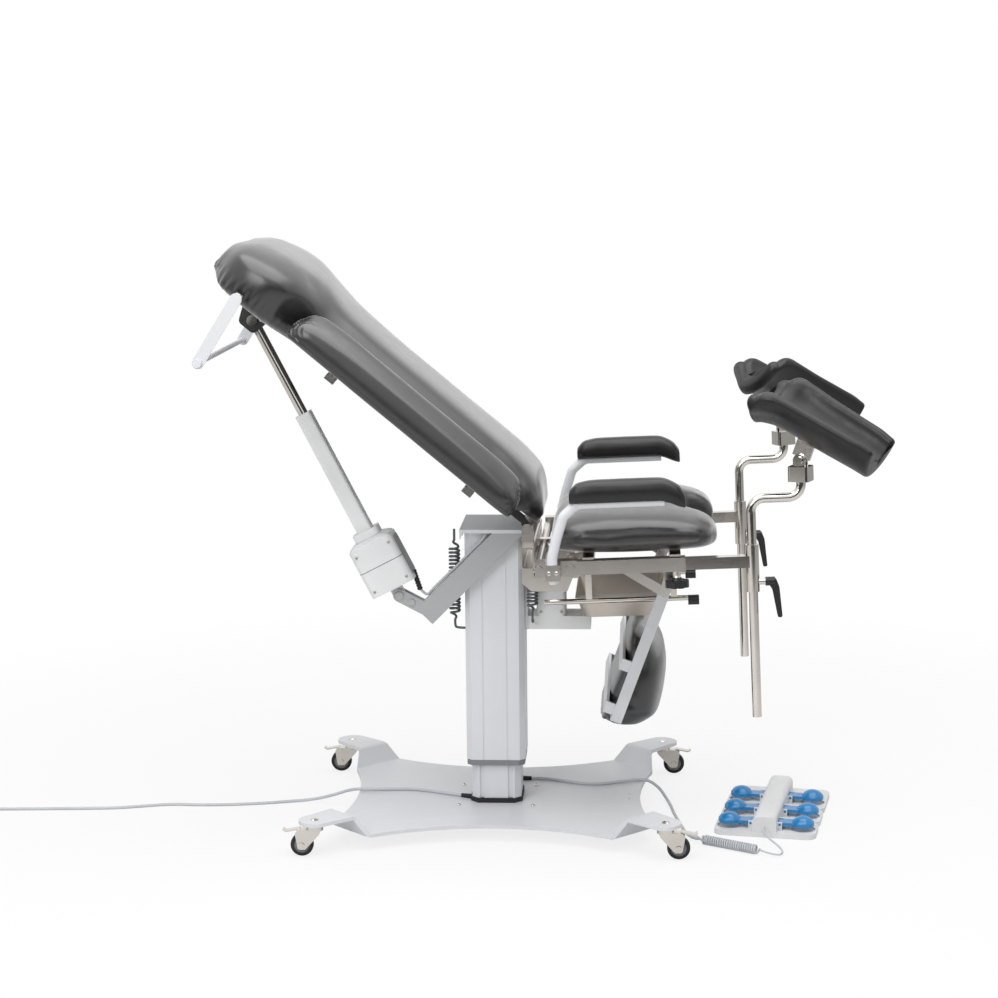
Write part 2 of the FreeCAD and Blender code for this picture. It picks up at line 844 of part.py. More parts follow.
def lift_axes():
    """Where the lifting spindle and its motor stand inside the column."""
    spindle = V(column_x - 20, 0, 0)
    motor = spindle + V(lift_tube_radius + lift_motor_radius + 2, 0, 0)
    return spindle, motor


def lift_drive_rod():
    """The push rod that stands on the column's foot."""
    spindle, _ = lift_axes()
    foot = rod(spindle + V(0, 0, inner_bottom), spindle + V(0, 0, inner_bottom + 8), lift_tube_radius)
    return fused([foot,
                  rod(spindle + V(0, 0, inner_bottom), spindle + V(0, 0, inner_top), lift_rod_radius)])


def lift_drive_motor():
    """The drive tube and its motor, hung from the head plate."""
    spindle, motor = lift_axes()
    tube = rod(spindle + V(0, 0, lift_tube_bottom), spindle + V(0, 0, head_bottom), lift_tube_radius)
    can = rod(motor + V(0, 0, head_bottom - lift_motor_length), motor + V(0, 0, head_bottom),
              lift_motor_radius)
    bridge = block(spindle.x, motor.x, -lift_motor_radius / 2, lift_motor_radius / 2, head_bottom - 30,
                   head_bottom)
    drive = fused([tube, can, bridge])
    bore = rod(spindle + V(0, 0, lift_tube_bottom - 1), spindle + V(0, 0, head_bottom - 12),
               lift_rod_radius + running)
    return drive.cut(bore)


def column_head_plate():
    """The plate on the column's head with its two folded lips and four sunk screws."""
    plate = block(head_left, head_right, -head_half_y, head_half_y, head_bottom, head_top)
    lips = []
    for x in (head_left, head_right - head_lip_thick):
        lips.append(block(x, x + head_lip_thick, -head_half_y, head_half_y, head_bottom - head_lip,
                          head_top))
    screws = []
    for x in (head_left + head_screw_inset, head_right - head_screw_inset):
        for y in (-head_half_y + head_screw_inset, head_half_y - head_screw_inset):
            screws.append(rod(V(x, y, head_top - head_screw_deep), V(x, y, head_top), head_screw_radius))
    plate = fused([plate] + lips).cut(Part.makeCompound(screws))
    arm_room = block(head_left - 1, head_right + 1, arm_plane_y - arm_width / 2 - gap,
                     arm_plane_y + arm_width / 2 + gap,
                     head_bottom - head_lip - 1, head_bottom)
    return group([plate.cut(arm_room)] + screws)


def support_arm():
    """The slanted square arm with its welded ears and the pin of the actuator's rear pivot."""
    half = arm_height / 2
    low = V(arm_end_x, arm_plane_y, arm_end_z)
    length = 2 * (head_bottom - arm_end_z)
    tube = block(0, length, -arm_width / 2, arm_width / 2, -half, half)
    tube = tube.cut(block(arm_wall, length + 1, -arm_width / 2 + arm_wall, arm_width / 2 - arm_wall,
                          -half + arm_wall, half - arm_wall))
    tube.rotate(V(0, 0, 0), V(0, 1, 0), -45)
    tube.translate(low)
    top_cut = block(-1000, 1000, -500, 500, head_bottom, 2000)
    inside = low + V(0, 0, half) / math.sqrt(2)
    ears = []
    for y in (arm_plane_y - arm_width / 2, arm_plane_y + arm_width / 2 - ear_plate):
        ears.append(strap((pivot_b_x, pivot_b_z), (inside.x, inside.z), 2 * ear_radius, y, y + ear_plate))
    arm = fused([tube.cut(top_cut)] + ears)
    y0 = arm_plane_y - arm_width / 2
    y1 = arm_plane_y + arm_width / 2
    hole = rod(V(pivot_b_x, y0 - 1, pivot_b_z), V(pivot_b_x, y1 + 1, pivot_b_z), pin_radius + running)
    pin = rod(V(pivot_b_x, y0, pivot_b_z), V(pivot_b_x, y1, pivot_b_z), pin_radius)
    for y, step in ((y0, -pin_head), (y1, pin_head)):
        pin = pin.fuse(rod(V(pivot_b_x, y, pivot_b_z), V(pivot_b_x, y + step, pivot_b_z),
                           pin_head_radius))
    bolt_at = (V(pivot_b_x, y0, pivot_b_z) + V(inside.x, y0, inside.z)) * 0.5
    bolt = rod(bolt_at, bolt_at - V(0, pin_head, 0), pin_head_radius * 0.8)
    return group([arm.cut(hole), pin.removeSplitter(), bolt])


def cross_tube():
    """The open cross tube with the back's hinge ears, its pins and the seat's pivot arms."""
    def section(height, depth, radius, y0, y1):
        corners = [(cross_x - depth / 2, cross_z - height / 2),
                   (cross_x + depth / 2, cross_z - height / 2),
                   (cross_x + depth / 2, cross_z + height / 2),
                   (cross_x - depth / 2, cross_z + height / 2)]
        return side_prism(corners, y0, y1, radius)
    tube = section(cross_height, cross_depth, cross_round, -cross_half_y, cross_half_y)
    bore = section(cross_height - 2 * cross_wall, cross_depth - 2 * cross_wall,
                   cross_round - cross_wall + 1,
                   -cross_half_y - 1, cross_half_y + 1)
    seat_on = cross_z + cross_height / 2
    ears = []
    pins = []
    for side in (-1, 1):
        centre = side * hinge_y
        for step in (-1, 1):
            inner = centre + step * (hinge_lug / 2 + gap)
            outer = inner + step * hinge_ear
            y0, y1 = sorted((inner, outer))
            ear = side_prism([(cross_x - 13, seat_on - weld), (cross_x + 13, seat_on - weld),
                              (hinge_x + hinge_eye, hinge_z), (hinge_x - hinge_eye, hinge_z)], y0, y1)
            ear = ear.fuse(rod(V(hinge_x, y0, hinge_z), V(hinge_x, y1, hinge_z), hinge_eye))
            ears.append(ear)
        reach = hinge_lug / 2 + gap + hinge_ear
        pin = rod(V(hinge_x, centre - reach, hinge_z), V(hinge_x, centre + reach, hinge_z), pin_radius)
        for step in (-1, 1):
            at = V(hinge_x, centre + step * reach, hinge_z)
            pin = pin.fuse(rod(at, at + V(0, step * pin_head, 0), pin_head_radius))
        pins.append(pin.removeSplitter())
    arms = []
    for side in (-1, 1):
        y0, y1 = sorted((side * (pivot_arm_y - pivot_arm_thick / 2),
                         side * (pivot_arm_y + pivot_arm_thick / 2)))
        low = cross_z - cross_height / 2
        outline = [(cross_x - 12, low + weld), (cross_x - 12, low - 30), (cross_x + 8, low - 48),
                   (seat_x - 10, low - 48),
                   (seat_x + seat_lug_eye, seat_z - 12), (seat_x + seat_lug_eye, seat_z),
                   (seat_x - seat_lug_eye, seat_z),
                   (seat_x - seat_lug_eye, seat_z - 8), (seat_x - 26, low - 16), (cross_x + 14, low - 16),
                   (cross_x + 12, low + weld)]
        arm = side_prism(outline, y0, y1)
        arm = arm.fuse(rod(V(seat_x, y0, seat_z), V(seat_x, y1, seat_z), seat_lug_eye))
        arms.append(arm)
        tip = side * (pivot_arm_y + pivot_arm_thick / 2)
        reach = side * (gap + seat_lug_thick + gap)
        pin = rod(V(seat_x, side * (pivot_arm_y - pivot_arm_thick / 2), seat_z),
                  V(seat_x, tip + reach, seat_z), pin_radius)
        at = V(seat_x, tip + reach, seat_z)
        arms.append(pin)
        arms.append(rod(at, at + V(0, side * pin_head, 0), pin_head_radius))
    post_face = column_x + outer_x / 2
    saddle = block(post_face, cross_x - cross_depth / 2 + weld, -hinge_y / 2, hinge_y / 2,
                   cross_z - 20, cross_z + 20)
    saddle = saddle.cut(block(head_right - head_lip_thick - gap, head_right + gap, -500, 500,
                              head_bottom - head_lip - gap, 999))
    body = fused([tube.cut(bore)] + ears + arms)
    body = fused([body,
                  saddle.cut(section(cross_height - 1, cross_depth - 1, cross_round - 0.5, -500, 500))])
    for side in (-1, 1):
        centre = side * hinge_y
        body = body.cut(rod(V(hinge_x, centre - 40, hinge_z), V(hinge_x, centre + 40, hinge_z),
                            pin_radius + running))
    return group([body] + pins)


# Back

def on_back(shape):
    """Put a piece drawn along the back, from the hinge, onto the leaning back."""
    lean = FreeCAD.Matrix(back_axis.x, 0, back_normal.x, hinge_x,
                          0, -1, 0, 0,
                          back_axis.z, 0, back_normal.z, hinge_z,
                          0, 0, 0, 1)
    copy = shape.copy()
    copy.Placement = FreeCAD.Placement(lean).multiply(copy.Placement)
    return copy


def pad_loft(stations, base, draw):
    """A stuffed pad through stations: place, half width, edge height, crown height, drop of the base."""
    sections = [pad_section(at, half, base - drop, edge, crown, draw) for at, half, edge, crown,
                drop in stations]
    return Part.makeLoft(sections, True, False)


def back_frame():
    """Two rails, three bars with latches, hinge lugs and the slotted ears for the actuator's rod."""
    half = rail_width / 2
    top = wing_bottom
    low = top - rail_width
    solids = []
    for side in (-1, 1):
        y = side * hinge_y
        rail = square_tube(V(rail_start, y, top - half), V(rail_end, y, top - half), rail_width, 2.5)
        lug = side_prism([(0, hinge_eye - 1), (rail_start + 4, top - 1), (rail_start + 40, top - 1),
                          (rail_start + 40, low + 1), (rail_start, low + 1), (0, -hinge_eye + 1)],
                         y - hinge_lug / 2, y + hinge_lug / 2)
        ends = (V(0, y - hinge_lug / 2, 0), V(0, y + hinge_lug / 2, 0))
        lug = lug.fuse(rod(ends[0], ends[1], hinge_eye))
        lug = lug.cut(rod(ends[0] - V(0, 1, 0), ends[1] + V(0, 1, 0), pin_radius + running))
        solids += [rail, lug]
        for at in (bar_low, bar_high):
            y0, y1 = sorted((side * (bar_reach - latch_width), side * bar_reach))
            solids.append(block(at - half / 2, at + rail_width + half / 2, y0, y1, low - latch_drop,
                                low + weld))
    for at, reach in ((bar_low, bar_reach), (bar_high, bar_reach), (bar_head, holder_y - holder_plate)):
        solids.append(block(at, at + rail_width, -reach, reach, low, top))
    return on_back(fused(solids + rod_ears()))


def rod_ears():
    """The two slotted ears under the head bar that hold the pin of the actuator's rod."""
    play = pin_radius + slot_play
    low = rod_pin_t - play - ear_margin
    end = bar_head + rail_width
    outline = [(slot_end_s - play - ear_margin, wing_bottom - weld), (end, wing_bottom - weld),
               (end, wing_bottom - rail_width), (rod_pin_s + play + ear_margin, low),
               (rod_pin_s - play - ear_margin, low)]
    ears = []
    for step in (-1, 1):
        inner = -arm_plane_y + step * (rod_lug / 2 + gap)
        y0, y1 = sorted((inner, inner + step * ear_plate))
        ear = side_prism(outline, y0, y1, [0, 0, 0, ear_margin, ear_margin])
        slot = strap((rod_pin_s, rod_pin_t), (slot_end_s, slot_end_t), 2 * play, y0 - 1, y1 + 1)
        ears.append(ear.cut(slot))
    return ears


def back_cushion():
    """The crowned back cushion, wide at the head, narrow between the wings."""
    waist = wing_inner - 6
    head = bar_reach + head_out
    shares = [
        (-9, waist - 82, 0.36, 0.46), (12, waist - 36, 0.5, 0.67), (58, waist - 8, 0.66, 0.91),
        (140, waist - 1, 0.73, 1.0), (420, waist, 0.73, 1.0), (590, waist + 1, 0.78, 1.04),
        (652, waist + 6, 0.87, 1.12), (688, head - 49, 0.94, 1.17), (724, head - 13, 0.96, 1.18),
        (770, head, 0.92, 1.14), (815, head - 8, 0.84, 1.04), (858, head - 42, 0.7, 0.88),
        (889, head - 112, 0.5, 0.63),
    ]
    stations = [(at, half, edge * cushion_top - wing_bottom, crown * cushion_top - wing_bottom, 0)
                for at, half, edge, crown in shares]
    return on_back(pad_loft(stations, wing_bottom, 14.0))


def back_wings():
    """The two side wings."""
    half = (wing_outer - wing_inner) / 2
    tall = wing_top - wing_bottom
    end = wing_length
    stations = [
        (0, 0.58 * half, 0.42 * tall, 0.54 * tall, 0), (12, 0.82 * half, 0.58 * tall, 0.76 * tall, 0),
        (42, 0.98 * half, 0.71 * tall, 0.93 * tall, 0), (130, half, 0.76 * tall, tall, 0),
        (end - 130, half, 0.76 * tall, tall, 0), (end - 42, 0.98 * half, 0.72 * tall, 0.94 * tall, 0),
        (end - 12, 0.82 * half, 0.6 * tall, 0.78 * tall, 0),
        (end, 0.58 * half, 0.43 * tall, 0.56 * tall, 0),
    ]
    wing = pad_loft(stations, wing_bottom, 7.0)
    solids = []
    for side in (-1, 1):
        copy = wing.copy()
        copy.translate(V(wing_start, side * (wing_inner + half), 0))
        solids.append(copy)
    return on_back(group(solids))


def holder_axis():
    """The paper rod's middle, drawn along the back."""
    return bar_head + rail_width / 2 - holder_back, -holder_drop


def paper_holder():
    """Two flat arms that hang from the head bar and carry the paper rod."""
    at, low = holder_axis()
    arms = []
    for side in (-1, 1):
        y0, y1 = sorted((side * (holder_y - holder_plate), side * holder_y))
        top = wing_bottom - holder_width / 2 - weld
        arm = strap((at + holder_back, top), (at, low), holder_width, y0, y1)
        arms.append(arm.cut(rod(V(at, y0 - 1, low), V(at, y1 + 1, low), paper_rod_radius + running)))
    return on_back(group(arms))


def paper_rod():
    """The rod for a paper roll, with a cap at each end."""
    at, low = holder_axis()
    reach = holder_y + gap
    solids = [rod(V(at, -reach - paper_cap, low), V(at, reach + paper_cap, low), paper_rod_radius)]
    for side in (-1, 1):
        start = V(at, side * reach, low)
        solids.append(rod(start, start + V(0, side * paper_cap, 0), paper_cap_radius))
    return on_back(fused(solids))


# Back actuator

def rod_end():
    """The pin at the rod's end, at rest."""
    at = hinge_point + back_axis * rod_pin_s + back_normal * rod_pin_t
    return V(at.x, arm_plane_y, at.z)


def actuator_length():
    """From the rear pivot to the rod's pin at rest."""
    return (rod_end() - pivot_b).Length


def on_actuator(shape):
    """Put a piece drawn upright from the rear pivot onto the leaning actuator."""
    way = (rod_end() - pivot_b).normalize()
    copy = turned(shape, V(0, 0, 0), V(0, 1, 0), math.degrees(math.atan2(way.x, way.z)))
    copy.translate(pivot_b)
    return copy


def back_actuator():
    """Motor housing with its rear lug, neck, collar and the guide tube."""
    half = motor_width / 2
    deep = motor_depth / 2
    top = motor_start + motor_length
    housing = rounded_box(-half, half, -deep, deep, motor_start, top, motor_round)
    lug = block(-ear_radius, ear_radius, -lug_thick / 2, lug_thick / 2, 0, motor_start + weld)
    lug = lug.fuse(rod(V(0, -lug_thick / 2, 0), V(0, lug_thick / 2, 0), ear_radius - 1))
    lug = lug.cut(rod(V(0, -lug_thick, 0), V(0, lug_thick, 0), pin_radius + running))
    bore = rod(V(0, 0, bore_start), V(0, 0, tube_mouth + 1), rod_radius + running)
    body = fused([housing, lug]).cut(bore)
    neck = rod(V(0, 0, top), V(0, 0, collar_start), neck_radius)
    wide = collar_width / 2
    collar = rounded_box(-wide, wide, -wide * 0.8, wide * 0.8, collar_start,
                         collar_start + collar_length, tube_round * 2)
    side = tube_width / 2
    tube = rounded_box(-side, side, -side, side, collar_start + collar_length, tube_mouth, tube_round)
    guide = fused([neck, collar, tube])
    for way in (-1, 1):
        x0, x1 = sorted((way * (side - tube_groove_depth), way * (side + 1)))
        guide = guide.cut(block(x0, x1, -tube_groove / 2, tube_groove / 2,
                                collar_start + collar_length, tube_mouth + 1))
    return on_actuator(group([body, guide.cut(bore)]))


def back_actuator_rod():
    """The chrome rod with its eye and the pin in the back's slots."""
    length = actuator_length()
    bar = rod(V(0, 0, rod_start), V(0, 0, length), rod_radius)
    eye = rod(V(0, -rod_lug / 2, length), V(0, rod_lug / 2, length), rod_eye_radius)
    reach = rod_lug / 2 + gap + ear_plate + gap
    pin = rod(V(0, -reach - pin_head, length), V(0, reach + pin_head, length), pin_radius)
    solids = [bar, eye, pin]
    head = pin_radius + slot_play + weld
    for side in (-1, 1):
        solids.append(rod(V(0, side * reach, length), V(0, side * (reach + pin_head), length), head))
    return on_actuator(fused(solids))


# Seat

def on_seat(shape):
    """Put a piece drawn level about the seat's pivot onto the tilted seat."""
    copy = turned(shape, V(0, 0, 0), V(0, 1, 0), -seat_tilt)
    copy.translate(V(seat_x, 0, seat_z))
    return copy


def armrest_path(side):
    """The armrest tube from its boss up to the run under the pad."""
    y = side * armrest_y
    top = armrest_run_z
    return [V(-34, y, -25), V(-37, y, 29), V(-26, y, 70), V(-9, y, top - 26), V(21, y, top),
            V(205, y, top)]


armrest_bends = [0, 60, 60, 22, 30, 0]


def armrest_tube(side, radius):
    """One bent armrest tube."""
    path = rounded_path(armrest_path(side), armrest_bends, False)
    points = armrest_path(side)
    section = Part.Wire(Part.makeCircle(radius, points[0], points[1] - points[0]))
    return path.makePipeShell([section], True, False)


def foot_bracket(side):
    """The fixed brace and lug that carry the footrest's pivot on one side."""
    y0 = side * (foot_bar_y + gap)
    y1 = side * (foot_bar_y + gap + foot_bar_thick)
    tube_face = side * (side_y - side_tube / 2 + weld)
    pivot = (foot_x, foot_z)
    low, high = sorted((y0, y1))
    solids = [strap((foot_brace_x, foot_brace_z), pivot, 20.0, low, high),
              strap(pivot, (foot_lug_x, foot_brace_z), 20.0, low, high)]
    for x in (foot_brace_x, foot_lug_x):
        solids.append(rod(V(x, y0, foot_brace_z), V(x, tube_face, foot_brace_z), 8.0))
    inner = side * (foot_bar_y - foot_bar_thick - gap)
    solids.append(rod(V(foot_x, y1, foot_z), V(foot_x, inner - side * 3, foot_z), foot_pin))
    solids.append(rod(V(foot_x, inner, foot_z), V(foot_x, inner - side * 3, foot_z), foot_pin * 1.8))
    return solids


def seat_frame():
    """Side tubes, rear brackets, cross bars, pivot lugs, lever bar, knob bosses and footrest brackets."""
    half = side_tube / 2
    bar_low_z = seat_board - seat_bar_height
    solids = []
    holes = []
    for side in (-1, 1):
        y = side * side_y
        solids.append(square_tube(V(side_start, y, 0), V(side_end, y, 0), side_tube, side_wall))
        tall = half + 2
        inner, outer = sorted((y - tall, y + tall))
        shell = block(side_bracket_start, side_bracket_end, inner, outer, -tall, tall)
        shell = shell.cut(block(side_bracket_start - 1, side_start, inner + 4, outer - 4, -tall + 4,
                                tall - 4))
        shell = shell.cut(block(side_start, side_bracket_end + 1, y - half, y + half, -half, half))
        solids.append(shell)
        boss_y = sorted((y + side * (tall - weld), side * (armrest_y + armrest_boss)))
        solids.append(block(-36 - armrest_boss, -36 + armrest_boss, boss_y[0], boss_y[1], -tall, tall))
        lug_y = sorted((side * (pivot_arm_y + pivot_arm_thick / 2 + gap),
                        side * (pivot_arm_y + pivot_arm_thick / 2 + gap + seat_lug_thick)))
        lug = side_prism([(-seat_lug_eye, 0), (0, -seat_lug_eye), (seat_bar_rear + 8, bar_low_z - 4),
                          (seat_bar_rear + 8, seat_board - 1), (seat_bar_rear, seat_board - 1),
                          (0, seat_lug_eye)],
                         lug_y[0], lug_y[1])
        lug = lug.fuse(rod(V(0, lug_y[0], 0), V(0, lug_y[1], 0), seat_lug_eye))
        solids.append(lug.cut(rod(V(0, lug_y[0] - 1, 0), V(0, lug_y[1] + 1, 0), pin_radius + running)))
        nut = rod(V(knob_x, y, -half - knob_stem), V(knob_x, y, -half + side_wall / 2), knob_stud * 2.2)
        solids.append(nut)
        holes.append(rod(V(knob_x, y, -half - knob_stem - 1), V(knob_x, y, -half + side_wall + 1),
                         knob_stud + running))
        for x in (lever_x, 0):
            cap = V(x, y + side * tall, 0)
            solids.append(rod(cap, cap + V(0, side * 5, 0), pin_head_radius))
        holes.append(armrest_tube(side, armrest_radius + running))
        solids += foot_bracket(side)
    reach = side_y - half - 2 + weld
    solids.append(rod(V(lever_x, -reach, 0), V(lever_x, reach, 0), lever_radius))
    for x in (seat_bar_rear, seat_bar_front):
        wide = side_y - half + weld
        solids.append(block(x, x + seat_bar_width, -wide, wide, bar_low_z, seat_board))
    frame = fused(solids)
    for hole in holes:
        frame = frame.cut(hole)
    return on_seat(frame)


def seat_cushion():
    """The crowned seat cushion with its open front."""
    tall = seat_crown - seat_board - seat_border
    wide = seat_half_y
    shares = [
        (seat_rear, wide - 62, 0.5, 0.66),
        (seat_rear + 22, wide - 26, 0.68, 0.88),
        (30, wide - 4, 0.76, 1.0), (120, wide, 0.76, 1.0),
        (220, wide - 2, 0.74, 0.96),
        (seat_front - 34, wide - 12, 0.64, 0.8),
        (seat_front - 8, wide - 34, 0.5, 0.62),
        (seat_front, wide - 66, 0.38, 0.46),
    ]
    stations = [(at, half, seat_border + edge * tall, seat_border + crown * tall, 0)
                for at, half, edge, crown in shares]
    pad = pad_loft(stations, seat_board, 12.0)
    low = seat_board - 1
    wide_x = seat_front - 60
    outline = [V(notch_start, -24, low), V(wide_x, -notch_half, low),
               V(seat_front + 20, -notch_half - 14, low),
               V(seat_front + 20, notch_half + 14, low), V(wide_x, notch_half, low),
               V(notch_start, 24, low)]
    pad = pad.cut(prism(outline, V(0, 0, 2 * tall), [22, 30, 0, 0, 30, 22]))
    return on_seat(pad)


def armrest_tubes():
    """Both armrest tubes."""
    return on_seat(group([armrest_tube(side, armrest_radius) for side in (-1, 1)]))


def armrest_pads():
    """Both armrest pads, drooping in front."""
    half = pad_width / 2
    tall = pad_height
    end = pad_rear + pad_length
    base = armrest_run_z + armrest_radius
    stations = [
        (pad_rear, 0.7 * half, 0.42 * tall, 0.56 * tall, 0),
        (pad_rear + 14, 0.95 * half, 0.62 * tall, 0.86 * tall, 0),
        (60, half, 0.7 * tall, tall, 0), (170, half, 0.7 * tall, tall, 0),
        (212, half, 0.7 * tall, 0.98 * tall, 0),
        (end - 14, 0.93 * half, 0.6 * tall, 0.84 * tall, 0.6 * pad_droop),
        (end, 0.62 * half, 0.36 * tall, 0.5 * tall, 0.9 * pad_droop),
    ]
    pad = pad_loft(stations, base, 6.0)
    clear = armrest_radius + gap
    room = rod(V(0, 0, armrest_run_z), V(206, 0, armrest_run_z), clear)
    pad = pad.cut(room)
    pads = []
    for side in (-1, 1):
        copy = pad.copy()
        copy.translate(V(0, side * armrest_y, 0))
        pads.append(copy)
    return on_seat(group(pads))


def basin_rails():
    """Two rods under the seat with their hangers and end caps."""
    bar_under = seat_board - seat_bar_height
    solids = []
    for side in (-1, 1):
        y = side * rail_y
        start = V(basin_rail_front, y, rail_z)
        pieces = [rod(V(basin_rail_rear, y, rail_z), start, rail_radius)]
        for x in (hanger_rear, hanger_front):
            inner, outer = sorted((y, y + side * hanger_thick))
            pieces.append(block(x, x + hanger_width, inner, outer, rail_z, bar_under))
        solids.append(fused(pieces))
        low = start - V(0, 0, cap_radius - rail_radius)
        solids.append(rod(low, low + V(cap_length, 0, 0), cap_radius))
    return on_seat(group(solids))


def basin():
    """The pressed steel basin that hangs by its flange on the rails."""
    rim = rail_z + rail_radius + running
    top_half = basin_half_y
    end = basin_rear + basin_length

    def tub(inset, z_low, z_high):
        def wire(grow, z):
            corners = [V(basin_rear + inset + grow, -top_half + inset + grow, z),
                       V(end - inset - grow, -top_half + inset + grow, z),
                       V(end - inset - grow, top_half - inset - grow, z),
                       V(basin_rear + inset + grow, top_half - inset - grow, z)]
            return rounded_path(corners, 26 - inset, True)
        return Part.makeLoft([wire(basin_draft, z_low), wire(0, z_high)], True, True)
    outer = tub(0, rim - basin_depth, rim + basin_wall)
    inner = tub(basin_wall, rim - basin_depth + basin_wall, rim + basin_wall + 0.01)
    flange = rounded_box(basin_rear, end, -top_half - basin_flange, top_half + basin_flange, rim,
                         rim + basin_wall, 8)
    return on_seat(fused([outer, flange]).cut(inner))


def seat_actuator():
    """The seat's actuator on its bracket at the column's side."""
    face = column_x + outer_x / 2
    bracket = block(face, face + lift_bracket, -lift_box_half - 4, lift_box_half + 4, lift_box_low,
                    cross_z - 25)
    foot = block(face + lift_bracket, lift_foot_right, -lift_box_half, lift_box_half, lift_box_low,
                 lift_box_step)
    box = rounded_box(lift_box_left, lift_box_right, -lift_box_half, lift_box_half, lift_box_step,
                      lift_box_high, 10)
    guide = rod(V(lift_x, 0, lift_box_step), V(lift_x, 0, guide_top), guide_radius)
    guide = guide.cut(box)
    bore = rod(V(lift_x, 0, guide_low), V(lift_x, 0, guide_top + 1), seat_rod_radius + running)
    return group([bracket, foot, box.cut(bore), guide.cut(bore)])


def lever_point():
    """Where the lever bar of the seat stands at rest."""
    tilt = math.radians(seat_tilt)
    return V(seat_x + lever_x * math.cos(tilt), 0, seat_z + lever_x * math.sin(tilt))


def seat_actuator_rod():
    """The rod whose slotted eye holds the seat's lever bar."""
    at = lever_point()
    play = lever_radius + 0.4
    travel = 2.8
    bar = rod(V(lift_x, 0, seat_rod_low), V(lift_x, 0, at.z - play), seat_rod_radius)
    eye = block(at.x - play - 2, at.x + play + travel + 6, -12, 12, at.z - play - 5, at.z + play + 5)
    slot = rod(V(at.x, -13, at.z), V(at.x, 13, at.z), play)
    slot = slot.fuse(rod(V(at.x + travel, -13, at.z), V(at.x + travel, 13, at.z), play))
    slot = slot.fuse(block(at.x, at.x + travel, -13, 13, at.z - play, at.z + play))
    return fused([bar, eye]).cut(slot)


# Leg supports, drawn on the far side

def on_side(shape, side):
    """Put a leg support's piece on its side of the tilted seat."""
    return on_seat(shape if side > 0 else mirrored(shape))


def leg_bar(side):
    """The bar that slides in the side tube, its upright sleeve and the lever's boss."""
    half = leg_bar_width / 2
    bar = block(leg_bar_start, sleeve_x, side_y - half, side_y + half, -half, half)
    sleeve = rod(V(sleeve_x, side_y, sleeve_low), V(sleeve_x, side_y, sleeve_high), sleeve_radius)
    boss_at = V(sleeve_x, side_y, lever_z)
    boss = rod(boss_at, boss_at + V(sleeve_radius + lever_boss, 0, 0), lever_boss_radius)
    body = fused([bar, sleeve, boss])
    body = body.cut(rod(V(sleeve_x, side_y, sleeve_low - 1), V(sleeve_x, side_y, sleeve_high + 1),
                        post_radius + running))
    body = body.cut(rod(boss_at, boss_at + V(sleeve_radius + lever_boss + 1, 0, 0), lever_stud + running))
    return on_side(body, side)


def leg_post(side):
    """The cranked post in the sleeve."""
    x2 = sleeve_x + crank_out
    points = [V(sleeve_x, side_y, post_low), V(sleeve_x, side_y, crank_z), V(x2, side_y, crank_z),
              V(x2, side_y, post_high)]
    return on_side(bent_bar(points, crank_bend, post_radius), side)


def tilt_height():
    """How high the shell's tilt pin lies above the seat's pivot."""
    return post_high + tilt_eye + 2


def on_crank(shape, side):
    """Put a piece drawn about the crank's upper end, heading along X, onto its side."""
    copy = turned(shape, V(0, 0, 0), V(0, 0, 1), shell_yaw)
    copy.translate(V(sleeve_x + crank_out, side_y, 0))
    return on_side(copy, side)


def leg_clamp(side):
    """The clamp on the post's upper end, with two ears and the tilt pin."""
    half = clamp_width / 2
    low = post_high - clamp_height + 10
    body = rounded_box(-half, half, -half + 3, half - 3, low, post_high + weld, 6)
    solids = [body]
    high = tilt_height()
    for step in (-1, 1):
        y0, y1 = sorted((step * (tilt_plate / 2 + gap), step * (tilt_plate / 2 + gap + 6)))
        solids.append(block(-tilt_eye, tilt_eye, y0, y1, post_high, high))
        solids.append(rod(V(0, y0, high), V(0, y1, high), tilt_eye))
    reach = tilt_plate / 2 + gap + 6
    clamp = fused(solids)
    clamp = clamp.cut(rod(V(0, 0, low - 1), V(0, 0, post_high), post_radius + running))
    clamp = clamp.cut(rod(V(0, -reach - 1, high), V(0, reach + 1, high), tilt_pin_radius + running))
    pin = rod(V(0, -reach - 4, high), V(0, reach + 4, high), tilt_pin_radius)
    for step in (-1, 1):
        pin = pin.fuse(rod(V(0, step * reach, high), V(0, step * (reach + 4), high),
                           tilt_pin_radius * 1.7))
    return on_crank(group([clamp, pin.removeSplitter()]), side)


def trough_section(at, half, depth, wall, sink):
    """One cross-section of a leg shell: a thick trough with rounded lips."""
    rim = -sink
    lip = wall / 2
    outer = Part.Arc(V(at, half, rim), V(at, 0, rim - depth), V(at, -half, rim)).toShape()
    inner = Part.Arc(V(at, -half + wall, rim), V(at, 0, rim - depth + wall),
                     V(at, half - wall, rim)).toShape()
    left = Part.Arc(V(at, -half, rim), V(at, -half + lip, rim + lip * 0.8),
                    V(at, -half + wall, rim)).toShape()
    right = Part.Arc(V(at, half - wall, rim), V(at, half - lip, rim + lip * 0.8),
                     V(at, half, rim)).toShape()
    return Part.Wire([outer, left, inner, right])


